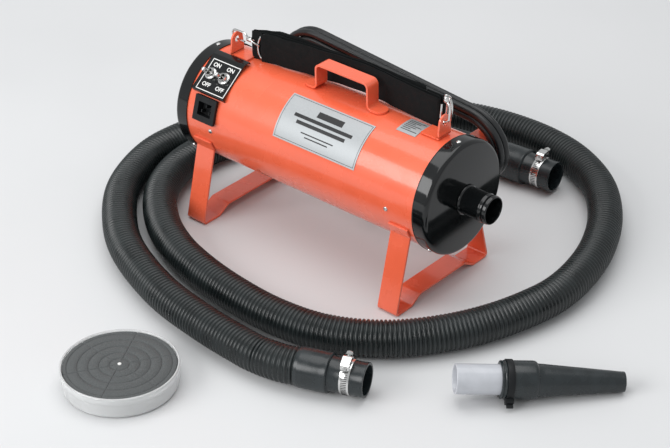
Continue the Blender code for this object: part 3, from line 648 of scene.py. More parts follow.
# ---------------------------------------------------------------- bent sheet parts
SHEET = 3.0 * MM


def stand_path():
    """Half of the closed strap: tab on the body, leg, foot pad, and the raised rail."""
    hug = BODY_R + 2.0 * MM
    tab = [(y, AXIS_Z + z) for y, z in (polar(hug, a) for a in (198.5, 201.5, 204.5, 207.5, 210))]
    half = tab + [(-0.097, SHEET / 2), (-0.066, SHEET / 2), (-0.047, 12.9 * MM), (0, 12.9 * MM)]
    radii = [0, 0, 0, 5 * MM, 4 * MM, 8 * MM, 8 * MM]
    front = [Vector(p) for p in rounded_profile(half, radii, 4)][:-1]
    return front + [Vector((-p.x, p.y)) for p in reversed(front)]


def stands():
    """Two closed strap stands, each welded to the tube at the front and the rear."""
    sides = (("left", -STAND_X), ("right", STAND_X))
    for side, x in sides:
        new_piece(f"stand_strap_{side}", bent_strip("stand", stand_path(), 32.5 * MM, SHEET),
                  CORAL, "dryer", across(x), (f"stand_{side}",), 40, 0.6 * MM)
    for side, x in sides:
        for face, angle in (("front", 199.2), ("rear", -19.2)):
            y, z = polar(BODY_R + 1.2 * MM, angle)
            bead = [(x + (i / 8 - 0.5) * 24 * MM, y, AXIS_Z + z) for i in range(9)]
            radii = [(1.2 + 0.2 * (i % 2)) * MM for i in range(9)]
            new_piece(f"weld_{side}_{face}", tube("weld", bead, radii, 10), CORAL,
                      "dryer")


def handle():
    """A bent strap with round ends welded flat on the tube."""
    rest = AXIS_Z + BODY_R + 2.0 * MM
    left, right, top = -0.0210, 0.0685, 0.2667
    end_r, foot = 11 * MM, 24.5 * MM
    path = [(left - foot, rest), (left, rest), (left, top), (right, top), (right, rest),
            (right + foot, rest)]
    strap = bent_strip("handle", rounded_profile(path, 7 * MM, 6), 2 * end_r, SHEET)
    shape = bmesh.new()
    shape.from_mesh(strap)
    for vert in shape.verts:
        for end, side in ((left - foot, -1), (right + foot, 1)):
            if abs(vert.co.x - end) < 1e-5:
                vert.co.x -= side * end_r
    strap = mesh_of(shape, "handle")
    ends = [plate("end", arc((left - foot + end_r, 0), end_r, 90, 270, 14), SHEET),
            plate("end", arc((right + foot - end_r, 0), end_r, -90, 90, 14), SHEET)]
    pieces = [moved(strap, spin(90, "X"))] + [moved(end, shift(0, 0, rest)) for end in ends]
    new_piece("handle_strap", joined("handle_strap", pieces), CORAL, "dryer",
              None, ("carry_handle",), 40, 0.6 * MM)


LUG_LEFT_X, LUG_RIGHT_X = -0.1757, 0.1888
LUG_HOLE_Z = 0.2505


def lugs():
    """The strap's two lugs: an upright tab with a hole, bent to a sole on the tube."""
    rest, thick, half = AXIS_Z + BODY_R + 0.3 * MM, 2.6 * MM, 12 * MM
    for side, x, inward in (("left", LUG_LEFT_X, 1), ("right", LUG_RIGHT_X, -1)):
        up = LUG_HOLE_Z - rest
        outline = [(-half, 3 * MM), (half, 3 * MM), (half, 12.5 * MM)]
        outline += arc((0, up), 32.5 * MM - up, 18, 162, 16) + [(-half, 12.5 * MM)]
        tab = moved(plate("tab", outline, thick, (arc((0, up), 4.8 * MM, 0, 345, 23),)),
                    across(x) @ shift(0, rest, 0))
        bend = [(0, 4 * MM), (0, 1.3 * MM), (inward * 4 * MM, 1.3 * MM)]
        bend = rounded_profile(bend, 2.5 * MM, 4)
        foot = moved(bent_strip("foot", bend, 2 * half, thick),
                     shift(x, 0, rest) @ spin(90, "X"))
        tip = 30 * MM - 1.3 * MM
        base = [(3.5 * MM, -half), (tip, -half), (tip, half), (3.5 * MM, half)]
        base = [(inward * px, py) for px, py in base]
        sole = moved(plate("sole", base if inward > 0 else base[::-1], thick),
                     shift(x, 0, rest + thick / 2))
        new_piece(f"lug_tab_{side}", joined("lug", [tab, foot, sole]), CORAL,
                  "dryer", None, (f"lug_{side}",), 40, 0.4 * MM)


def cord_brackets():
    """Two bent strips on the tube's rear, out through the hank and up in a lip behind it."""
    reach = BODY_R + 2.4 * MM
    for side, aside, high in (("left", -0.1535, 0.2080), ("right", 0.1535, 0.1828)):
        end = math.asin((high - AXIS_Z) / reach)
        foot = [(reach * math.cos(a), AXIS_Z + reach * math.sin(a))
                for a in (end - 0.25, end - 0.12, end)]
        path = rounded_profile(foot + [(0.1105, high), (0.1105, high + 0.0197)],
                               [0, 3 * MM, 5 * MM], 5)
        new_piece(f"cord_hook_{side}", bent_strip("bracket", path, 28 * MM, 2.5 * MM), CORAL,
                  "dryer", across(HANK_CENTRE[0] + aside),
                  (f"cord_bracket_{side}",), 40, 0.5 * MM)


# ---------------------------------------------------------------- plates with print
def patch(name, x_from, x_to, angle_from, angle_to, low, high, steps=10):
    """A thin curved plate on the tube, between two angles."""
    shape = bmesh.new()
    rings = []
    for i in range(steps + 1):
        a = math.radians(angle_from + (angle_to - angle_from) * i / steps)
        rings.append([shape.verts.new((x, r * math.cos(a), AXIS_Z + r * math.sin(a)))
                      for x, r in ((x_from, low), (x_to, low), (x_to, high), (x_from, high))])
    for a, b in zip(rings, rings[1:]):
        for k in range(4):
            shape.faces.new((a[k], a[(k + 1) % 4], b[(k + 1) % 4], b[k]))
    shape.faces.new(rings[0])
    shape.faces.new(rings[-1][::-1])
    return mesh_of(shape, name)


def frame_of(name, x0, x1, a0, a1, wide, low, high):
    """A printed border line, as four strips."""
    turn = math.degrees(wide / BODY_R)
    return joined(name, [patch("line", x0, x1, a0, a0 + turn, low, high),
                         patch("line", x0, x1, a1 - turn, a1, low, high),
                         patch("line", x0, x0 + wide, a0 + turn, a1 - turn, low, high),
                         patch("line", x1 - wide, x1, a0 + turn, a1 - turn, low, high)])


def name_plate():
    """A silver plate with a border and plain bars where the lettering would be."""
    x0, x1, a0, a1 = -0.0434, 0.0993, 111.3, 159.5
    low, top = BODY_R + 0.3 * MM, BODY_R + 0.9 * MM
    new_piece("name_plate_foil", patch("name_plate", x0, x1, a0, a1, low, top, 24), PLATE_SILVER,
              "dryer", None, ("name_plate",), 30)
    ink = top + 0.12 * MM
    inset_a = math.degrees(2.2 * MM / BODY_R)
    new_piece("name_plate_border", frame_of("name_plate_border", x0 + 2.2 * MM, x1 - 2.2 * MM,
                                            a0 + inset_a, a1 - inset_a, 0.6 * MM, top, ink),
              INK_AND_PAINTED_SHADE, "dryer")
    bars = [(0.012, 0.056, 120.0, 126.5), (-0.022, 0.078, 129.5, 133.0),
            (-0.014, 0.070, 135.5, 139.0), (0.000, 0.056, 145.0, 146.2),
            (0.008, 0.048, 148.4, 149.6)]
    new_piece("name_plate_bars", joined("bars", [patch("bar", *bar, top, ink, 4) for bar in bars]),
              INK_AND_PAINTED_SHADE, "dryer")


def rating_plate():
    x0, x1, a0, a1 = 0.1265, 0.1580, 82.0, 105.5
    low, top = BODY_R + 0.3 * MM, BODY_R + 0.9 * MM
    new_piece("rating_plate_foil", patch("rating_plate", x0, x1, a0, a1, low, top, 10),
              PLATE_SILVER, "dryer", None, ("rating_plate",), 30)
    ink = top + 0.1 * MM
    bars = [patch("bar", x0 + 3 * MM, x1 - (3 + 6 * (i % 3)) * MM, a0 + 3 + 2.6 * i,
                  a0 + 3.9 + 2.6 * i, top, ink, 2) for i in range(7)]
    new_piece("rating_plate_bars", joined("bars", bars), INK_AND_PAINTED_SHADE, "dryer")


# ---------------------------------------------------------------- switches and inlet
PLATE_X, PLATE_ANGLE = -0.1668, 127.5
PLATE_OUT = 80.0 * MM                # the switch plate's mid-plane, from the body's axis
TOGGLE_X = (-0.1792, -0.1543)
TOGGLE_TILT = 12                     # degrees from the plate's normal


def lettering(name, text, size, place):
    """Raised white letters: the plain words on and off."""
    curve = bpy.data.curves.new(name, "FONT")
    curve.body = text
    curve.size = size
    curve.extrude = 0.06 * MM
    curve.offset = 0.22 * MM
    curve.align_x = "CENTER"
    curve.align_y = "CENTER"
    holder = linked(name, curve)
    mesh = settled(holder)
    bpy.data.objects.remove(holder, do_unlink=True)
    return moved(mesh, place)


def switch_panel():
    half_w, foot, head = 29.5 * MM, -28.0 * MM, 29.0 * MM
    place = on_tube(PLATE_X, PLATE_ANGLE, PLATE_OUT)
    path = rounded_profile([(foot, -6.5 * MM), (foot, 0), (head, 0),
                            (head + 8.5 * MM, -4.8 * MM), (head + 7.6 * MM, -8.0 * MM)],
                           2.4 * MM, 5)
    turn = Matrix.Rotation(math.pi / 2, 4, "Z") @ Matrix.Rotation(math.pi / 2, 4, "X")
    panel = new_piece("switch_panel", bent_strip("panel", path, 2 * half_w, 1.2 * MM),
                      BLACK_GLOSS, "dryer", place @ turn, ("switch_plate",), 40)
    holes = [helper("bore", lathe("bore", [(0, -9 * MM), (6.2 * MM, -9 * MM),
                                           (6.2 * MM, 9 * MM), (0, 9 * MM)], 24),
                    on_tube(x, PLATE_ANGLE, PLATE_OUT)) for x in TOGGLE_X]
    cut_by(panel, holes)
    top, line = 0.66 * MM, 1.2 * MM
    left, right, low, high = -23.0 * MM, 27.6 * MM, -25.4 * MM, 22.0 * MM
    middle_x, middle_y = (left + right) / 2, (low + high) / 2
    strips = [((middle_x, low), (right - left + line, line)),
              ((middle_x, high), (right - left + line, line)),
              ((left, middle_y), (line, high - low)), ((right, middle_y), (line, high - low))]
    border = [block("line", (*size, 0.12 * MM), Matrix.Translation((*centre, top)))
              for centre, size in strips]
    words = [lettering("word", word, 8.3 * MM, Matrix.Translation((x - PLATE_X + aside, y, top)))
             for x in TOGGLE_X
             for word, y, aside in (("ON", 14.6 * MM, 1.0 * MM), ("OFF", -16.4 * MM, 2.0 * MM))]
    new_piece("switch_panel_print", joined("print", border + words), WHITE_INK,
              "dryer", place)


def toggles():
    """Chrome bat toggles, each in its bushing with a knurled nut on the plate."""
    nut_seat = shift(0, 0, 80.9 * MM)
    pivot_seat = shift(0, 0, 84.8 * MM)
    for number, x in enumerate(TOGGLE_X, 1):
        place = on_tube(x, PLATE_ANGLE, 0.0)
        nut = [(6.2, 0), (8.7, 0), (8.7, 1.9), (7.9, 2.7), (6.9, 3.0), (6.2, 3.0)]
        new_piece(f"switch_nut_{number}", lathe_mm("nut", nut, 48), STEEL,
                  "dryer", place @ nut_seat, (f"switch_{number}_nut",), 40)
        bushing = [(6.05, 80.0), (6.05, 88.3), (5.7, 88.8), (4.7, 88.8), (3.5, 85.6), (3.5, 82.0),
                   (5.0, 80.0)]
        new_piece(f"switch_bushing_{number}", lathe_mm("bushing", bushing, 36), STEEL,
                  "dryer", place, (), 40)
        ridges = [block("ridge", (0.5 * MM, 0.9 * MM, 2.0 * MM),
                        spin(15 * i) @ shift(8.7 * MM, 0, 1.0 * MM)) for i in range(24)]
        new_piece(f"switch_nut_knurl_{number}", joined("knurl", ridges), STEEL,
                  "dryer", place @ nut_seat)
        lever = [(0, -2.8), (2.0, -2.0), (2.8, 0), (2.0, 2.2), (1.8, 4.5), (2.2, 7.0),
                 (2.9, 10.5), (3.3, 13.5), (3.25, 15.5), (2.7, 17.3), (1.5, 18.3), (0, 18.6)]
        new_piece(f"switch_bat_{number}", lathe_mm("bat", lever, 32), STEEL,
                  f"switch_{number}_lever", place @ pivot_seat @ spin(TOGGLE_TILT, "X"),
                  (f"switch_{number}_lever",), 60)


def soften_node(name, width, angle=35):
    """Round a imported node's edges a little."""
    node = frame["nodes"][name]
    weld = node.modifiers.new("weld", "WELD")
    weld.merge_threshold = 0.01 * MM
    edge = node.modifiers.new("edges", "BEVEL")
    edge.width = width
    edge.segments = 2
    edge.limit_method = "ANGLE"
    edge.angle_limit = math.radians(angle)


# ---------------------------------------------------------------- shoulder strap
STRAP_LINE = [(-0.1240, 0.0080), (-0.1070, 0.0115), (-0.0440, 0.0205), (0.0000, 0.0265),
              (0.0370, 0.0290), (0.0610, 0.0270), (0.0990, 0.0230), (0.1300, 0.0205),
              (0.1550, 0.0190), (0.1720, 0.0188)]
WEB_WIDE, WEB_THICK = 42.5 * MM, 1.6 * MM
WEB_LOW = 0.2293


def strap_y(x, lean):
    """How far back the strap's middle layer stands at x, moved by lean."""
    (x0, y0), (x1, y1) = STRAP_LINE[:2]
    if x <= x0:
        return y0 + (x - x0) * (y1 - y0) / (x1 - x0) + lean
    return blend_along(STRAP_LINE, x) + lean


def ribbon(name, line, thick, replaces=()):
    """Webbing on edge along rows of (x, y, lowest z, height), with soft edges."""
    shape = bmesh.new()
    rings = []
    half, levels = thick / 2, 6
    count = len(line)
    for i, (x, y, z, tall) in enumerate(line):
        before = Vector(line[max(0, i - 1)][:2])
        after = Vector(line[min(count - 1, i + 1)][:2])
        along = (after - before).normalized()
        square = Vector((-along.y, along.x))
        ring = []
        for side in (1, -1):
            for k in range(levels + 1):
                up = k if side > 0 else levels - k
                bulge = half * (0.45 if up in (0, levels) else 1.0)
                wave = 0.45 * MM * math.sin(37 * x + 1.9 * up) * (up / levels)
                ring.append(shape.verts.new((x + square.x * (side * bulge + wave),
                                             y + square.y * (side * bulge + wave),
                                             z + tall * up / levels)))
        rings.append(ring)
    size = len(rings[0])
    for a, b in zip(rings, rings[1:]):
        for k in range(size):
            shape.faces.new((a[k], a[(k + 1) % size], b[(k + 1) % size], b[k]))
    shape.faces.new(rings[0][::-1])
    shape.faces.new(rings[-1])
    return new_piece(name, mesh_of(shape, name), WEBBING, "dryer", None, replaces, 60)


def blend_along(table, x):
    """A value read off a table of (x, value), softly between its rows."""
    if x <= table[0][0]:
        return table[0][1]
    for (x0, v0), (x1, v1) in zip(table, table[1:]):
        if x <= x1:
            t = (x - x0) / (x1 - x0)
            return v0 + (v1 - v0) * soft_step(t)
    return table[-1][1]


def shoulder_strap():
    """One length of webbing folded in three behind the handle, on edge on the body."""
    def layer(x_from, x_to, lean, lifts, steps):
        rows = []
        for i in range(steps + 1):
            x = x_from + (x_to - x_from) * i / steps
            rows.append((x, strap_y(x, lean), WEB_LOW + blend_along(lifts, x), WEB_WIDE))
        return rows

    def fold(x, lean_from, lean_to, side, lift, shrink):
        middle = (strap_y(x, lean_from) + strap_y(x, lean_to)) / 2
        radius = abs(lean_to - lean_from) / 2
        turn = 1 if lean_to > lean_from else -1
        rows = []
        for k in range(1, 8):
            a = math.radians(-90 + 180 * k / 8)
            rows.append((x + side * radius * 1.5 * math.cos(a),
                         middle + turn * radius * math.sin(a),
                         WEB_LOW + lift + shrink * math.cos(a) ** 2,
                         WEB_WIDE - 2 * shrink * math.cos(a) ** 2))
        return rows

    bar = (-0.1302, 0.0047)                                  # the ring's bar in the fold
    front = layer(-0.1000, -0.1250, -1.7 * MM, [(0, 0)], 6)
    front += [(bar[0] + 2.7 * MM * math.cos(math.radians(a)),
               bar[1] + 2.7 * MM * math.sin(math.radians(a)), WEB_LOW, WEB_WIDE - 1 * MM)
              for a in range(75, 300, 25)]
    front += layer(-0.1250, 0.1640, -3.9 * MM, [(-0.125, 0), (0.164, -0.5 * MM)], 40)
    right_fold = fold(0.1640, -3.9 * MM, 0.4 * MM, 1, -0.5 * MM, 1.5 * MM)
    middle = layer(0.1640, -0.1480, 0.4 * MM, [(-0.148, -1 * MM), (-0.103, 2 * MM),
                                               (-0.05, 0), (0.164, 0)], 42)
    left_fold = fold(-0.1480, 0.4 * MM, 4.2 * MM, -1, -1 * MM, 4 * MM)
    back = layer(-0.1480, 0.1360, 4.2 * MM, [(-0.148, -1 * MM), (-0.125, 2.5 * MM),
                                             (-0.103, 5.5 * MM), (-0.085, 5 * MM),
                                             (-0.050, 1.5 * MM), (0.0, -1 * MM), (0.05, 0),
                                             (0.10, 2 * MM), (0.136, 5 * MM)], 44)
    back += [(0.1360 + x * MM, strap_y(0.1360 + x * MM, 4.2 * MM), WEB_LOW + (5 + up) * MM,
              WEB_WIDE - 2 * up * MM) for x, up in ((1.5, 0.4), (2.8, 1.4), (3.6, 3.2))]
    ribbon("strap_webbing", front + right_fold + middle + left_fold + back, WEB_THICK,
           ("shoulder_strap",))
    end = [(x, strap_y(x, 4.2 * MM), WEB_LOW + 1 * MM, WEB_WIDE)
           for x in (0.1415, 0.148, 0.155, 0.162, 0.168, 0.172)]
    ribbon("strap_end_webbing", end, WEB_THICK)


# ---------------------------------------------------------------- strap hardware
HOOK_LONG, HOOK_BEND, HOOK_WIRE = 37 * MM, 6.6 * MM, 1.5 * MM


def hook(side, start, direction, upright, ring_point):
    """A swivel snap hook: an eye, a swivel barrel, the bent wire, and its sprung gate."""
    ahead, across_it = Vector(direction).normalized(), Vector(upright)
    square = ahead.cross(across_it).normalized()
    place = Matrix.Translation(start) @ Matrix((square.cross(ahead), square, ahead)
                                               ).transposed().to_4x4()
    barrel = [(0, 0.6), (2.2, 0.6), (3.1, 1.4), (3.4, 2.6), (3.4, 4.0), (2.6, 4.6), (2.6, 5.2),
              (3.4, 5.8), (3.4, 8.0), (2.6, 9.2), (1.8, 9.6), (0, 9.6)]
    turn = HOOK_LONG - HOOK_BEND
    wire = [(0, 0, 8.5 * MM), (0.6 * HOOK_BEND, 0, 10.5 * MM), (HOOK_BEND, 0, 14.5 * MM)]
    wire += [(x, 0, z) for x, z in arc((0, turn), HOOK_BEND, 0, 180, 14)]
    wire += [(-HOOK_BEND, 0, turn - 3.0 * MM)]
    body_mesh = joined("hook", [lathe_mm("barrel", barrel, 28),
                                tube("wire", smooth_route(wire, 1.5 * MM), HOOK_WIRE, 14)])
    new_piece(f"snap_hook_{side}", body_mesh, STEEL, "dryer", place,
              (f"strap_{side}_hook",), 50)
    gap = Vector(ring_point) - Vector(start)
    reach = gap.length / 2 + 2.6 * MM
    oval = [(reach * x, 3.4 * MM * y, 0) for x, y in arc((0, 0), 1.0, 0, 345, 23)]
    turn_link = gap.normalized().to_track_quat("X", "Z").to_matrix().to_4x4()
    link_place = Matrix.Translation(Vector(start) + gap / 2) @ turn_link
    new_piece(f"swivel_eye_{side}", tube("eye", oval, 1.2 * MM, 12, True), STEEL,
              "dryer", link_place, (), 60)
    gate = [(-HOOK_BEND, 0, 14.5 * MM), (-HOOK_BEND, 0, turn - 3.4 * MM)]
    new_piece(f"snap_gate_{side}", tube("gate", gate, 1.3 * MM, 14), STEEL,
              f"strap_{side}_gate", place, (f"strap_{side}_gate",), 50)


def strap_ring(side, foot, head, bulge):
    """A D-shaped wire ring with its bar in the webbing's fold."""
    foot, head, bulge = Vector(foot), Vector(head), Vector(bulge)
    mid, half = (foot + head) / 2, (head - foot) / 2
    ring = [foot.lerp(head, i / 6) for i in range(7)]
    ring += [mid + bulge * y + half * x for x, y in arc((0, 0), 1.0, 12, 168, 20)]
    new_piece(f"ring_{side}", tube("ring", ring, 1.7 * MM, 14, True), STEEL,
              "dryer", None, (f"strap_ring_{side}",), 60)


# ---------------------------------------------------------------- power cord
HANK_CENTRE = (0.0215, 0.09425, 0.1737)
HANK_TILT = math.radians(5.2)
HANK_STRAIGHT = 0.136                 # half of the wound cord's straight run
CORD_D = 10.0 * MM
RING_OUT, RING_IN = 57.0 * MM, 46.6 * MM
LAYER = 5.2 * MM
HANK_RISE = 15.0 * MM                 # how far the lower turns rise at the right end
HANK_RISE_FROM, HANK_RISE_OVER = 0.05, 0.11
CONNECTOR_TAIL = [(-0.1785, 0.1005, 0.1240), (-0.1785, 0.1005, 0.1310),
                  (-0.1775, 0.1000, 0.1410), (-0.1750, 0.0995, 0.1555)]
PLUG_BEND, PLUG_BEND_R = (0.0515, 0.0736), 40 * MM
PLUG_TOP = 0.0700


def hank_point(u, v, w):
    """A point of the wound cord: u along it, v up it, w back from its middle plane."""
    c, s = math.cos(HANK_TILT), math.sin(HANK_TILT)
    share = min(1.0, max(0.0, (u - HANK_RISE_FROM) / HANK_RISE_OVER))
    v += HANK_RISE * soft_step(share) * (1 - v / RING_OUT) / 2
    return Vector((HANK_CENTRE[0] + u * c + v * s, HANK_CENTRE[1] + w,
                   HANK_CENTRE[2] - u * s + v * c))


def ease(u, start, end):
    """0 before start and 1 after end, where end is the smaller, with a soft change."""
    t = min(1.0, max(0.0, (start - u) / (start - end)))
    return (1 - math.cos(math.pi * t)) / 2


def bend_round(end, radius, layer, angles):
    """Points of a turn's half circle at one end of the hank."""
    return [hank_point(end + along, up, layer)
            for along, up in (polar(radius, a) for a in angles)]


def power_cord_route():
    """Four turns round two brackets, then down to the plug."""
    slots = [(RING_OUT, LAYER), (RING_IN, LAYER), (RING_IN, -LAYER), (RING_OUT, -LAYER)]
    shifts = [(-0.074, -0.124), (-0.022, -0.072), (0.030, -0.020)]
    route = [Vector(p) for p in CONNECTOR_TAIL]
    for turn, (radius, layer) in enumerate(slots):
        left, right = -HANK_STRAIGHT, HANK_STRAIGHT
        route += bend_round(left, radius, layer, range(180, 89, -15))
        route += [hank_point(u / 1000, radius, layer) for u in range(-108, 109, 27)]
        route += bend_round(right, radius, layer, range(90, -91, -15))
        if turn == 3:
            route += [hank_point(u, -radius, layer) for u in (0.110, 0.085, 0.060, 0.042)]
            break
        next_radius, next_layer = slots[turn + 1]
        start, end = shifts[turn]
        for u in (u / 1000 for u in range(124, -136, -10)):
            t = ease(u, start, end)
            route.append(hank_point(u, -(radius + (next_radius - radius) * t),
                                    layer + (next_layer - layer) * t))
        route += bend_round(left, next_radius, next_layer, range(270, 194, -15))
    route += [Vector((x, 0.0885, z)) for x, z in arc(PLUG_BEND, PLUG_BEND_R, 94.5, 180, 6)]
    route.append(Vector((PLUG_BEND[0] - PLUG_BEND_R, 0.0885, PLUG_TOP)))
    return smooth_route(route, 7 * MM)


def power_cord():
    points = world(power_cord_route())
    curve = bpy.data.curves.new("power_cord", "CURVE")
    curve.dimensions = "3D"
    curve.bevel_depth = CORD_D / 2
    curve.bevel_resolution = 5
    curve.use_fill_caps = True
    spline = curve.splines.new("POLY")
    spline.points.add(len(points) - 1)
    for point, xyz in zip(spline.points, points):
        point.co = (*xyz, 1)
    spline.use_smooth = True
    curve.materials.append(CORD_JACKET)
    cord = linked("power_cord", curve)
    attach(cord, "dryer")
    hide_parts("cord_hank", "cord_connector_tail", "cord_plug_tail")
    on_it = [*cord_end("connector", CONNECTOR_TAIL[0], (24.5, 19.0, 40.0), "cord_connector"),
             *cord_end("plug", (PLUG_BEND[0] - PLUG_BEND_R, 0.0885, PLUG_TOP),
                       (26.0, 24.0, 36.0), "power_plug")]
    print("power cord", round(length_of(points), 3), "m")
    tuple(points[0])


def cord_end(kind, top, size, node):
    """A moulded connector or plug that hangs from the cord, with its ribbed strain relief."""
    wide, deep, long = (s * MM for s in size)
    corner = 5 * MM
    outline = []
    for cx, cy, a in ((1, 1, 0), (-1, 1, 90), (-1, -1, 180), (1, -1, 270)):
        outline += arc((cx * (wide / 2 - corner), cy * (deep / 2 - corner)), corner, a, a + 90, 5)
    body_mesh = moved(plate("moulding", outline, long - 8 * MM),
                      shift(0, 0, -long / 2 - 4 * MM))
    neck = [(0, -9.0), (9.0, -9.0), (8.6, -4.0), (7.0, 0.0), (6.2, 1.0), (0, 1.0)]
    parts = [body_mesh, lathe_mm("neck", neck, 32)]
    relief = [(5.3, 24.0), (5.8, 23.0)]
    for i in range(6):
        z = 21.5 - 3.6 * i
        wide_here = 6.0 + 0.35 * i
        relief += [(wide_here, z), (wide_here, z - 2.0), (wide_here - 0.9, z - 2.2),
                   (wide_here - 0.9, z - 3.4)]
    relief += [(6.6, 0.0), (5.1, 0.0)]
    parts.append(lathe_mm("relief", relief, 28))
    made = [new_piece(f"{kind}_moulding", joined(kind, parts), BLACK_PLASTIC,
                      "dryer", Matrix.Translation(top), (node,), 40, 0.5 * MM)]
    if kind == "plug":
        blades = [moved(block("blade", (1.6 * MM, 6.4 * MM, 19 * MM)),
                        shift(x * MM, 4 * MM, -long - 8.5 * MM))
                  for x in (-6.3, 6.3)]
        pin = lathe("pin", [(0, -19.0 * MM - long), (1.6 * MM, -18.4 * MM - long),
                            (2.3 * MM, -16.5 * MM - long), (2.3 * MM, 1 * MM - long),
                            (0, 1 * MM - long)], 20)
        pin = moved(pin, shift(0, -6 * MM, 0))
        made.append(new_piece("plug_blades", joined("blades", [*blades, pin]), STEEL,
                              "dryer", Matrix.Translation(top), (), 40, 0.2 * MM))
    return made


# ---------------------------------------------------------------- hose and cuffs
HOSE_D = 49 * MM
HOSE_Z = HOSE_D / 2 + 0.2 * MM
CUFF_Z = 26.4 * MM
CUFF_A_MOUTH, CUFF_A_TURN = (0.2747, -0.2524), 21.5
CUFF_B_MOUTH, CUFF_B_TURN = (0.1640, 0.2915), 4.0
CUFF_LONG = 90 * MM
HOSE_INSET = 52.3 * MM
HOSE_ROUTE = [
    (0.1400, -0.2975), (0.1100, -0.2985), (0.0310, -0.2930),
    (-0.0620, -0.2770), (-0.1640, -0.2375), (-0.2350, -0.1870), (-0.2920, -0.1230),
    (-0.3260, -0.0400), (-0.3270, 0.0320), (-0.3080, 0.1100), (-0.2640, 0.1890),
    (-0.1960, 0.2620), (-0.1150, 0.3180), (-0.0300, 0.3530), (0.0360, 0.3660),
    (0.1020, 0.3650), (0.1650, 0.3480), (0.2280, 0.3090), (0.2790, 0.2500),
    (0.3140, 0.1830), (0.3330, 0.1180), (0.3390, 0.0560), (0.3310, 0.0030),
    (0.3120, -0.0560), (0.2800, -0.1150), (0.2330, -0.1690), (0.1680, -0.2080),
    (0.0960, -0.2220), (0.0220, -0.2200), (-0.0500, -0.2090), (-0.1160, -0.1900),
    (-0.1790, -0.1570), (-0.2330, -0.1090), (-0.2650, -0.0540), (-0.2760, 0.0050),
    (-0.2650, 0.0680), (-0.2310, 0.1320), (-0.1740, 0.1930), (-0.1020, 0.2400),
    (-0.0350, 0.2690), (0.0100, 0.2780)]
RIB_PITCH = 5.8 * MM
RIB_DEPTH = 2.4 * MM
RIB_SHAPE = ((0.00, 1.0), (0.12, 0.45), (0.26, 0.10), (0.44, 0.0),      # along a rib, depth
             (0.62, 0.10), (0.76, 0.45), (0.88, 1.0))


def along_cuff(mouth, turn, back):
    a = math.radians(turn)
    return (mouth[0] - back * math.cos(a), mouth[1] - back * math.sin(a), CUFF_Z)


def hose_line(spacing):
    backs = (HOSE_INSET, 82 * MM, 112 * MM)
    start = [along_cuff(CUFF_A_MOUTH, CUFF_A_TURN, back) for back in backs]
    end = [along_cuff(CUFF_B_MOUTH, CUFF_B_TURN, back) for back in reversed(backs)]
    return smooth_route(start + [(x, y, HOSE_Z) for x, y in HOSE_ROUTE] + end, spacing)


def hose():
    """A corrugated hose: rounded ribs a few millimetres apart, all along the route."""
    guide = hose_line(RIB_PITCH)
    points, radii = [], []
    for p, q in zip(guide, guide[1:]):
        for share, depth in RIB_SHAPE:
            points.append(p.lerp(q, share))
            radii.append(HOSE_D / 2 - RIB_DEPTH * depth)
    made = new_piece("hose_corrugated", tube("hose", points, radii, 36), HOSE_VINYL,
                     "dryer", None, ("hose",), 70)
    path = world(guide)
    print("hose", round(length_of(path), 3), "m")
    return made, path


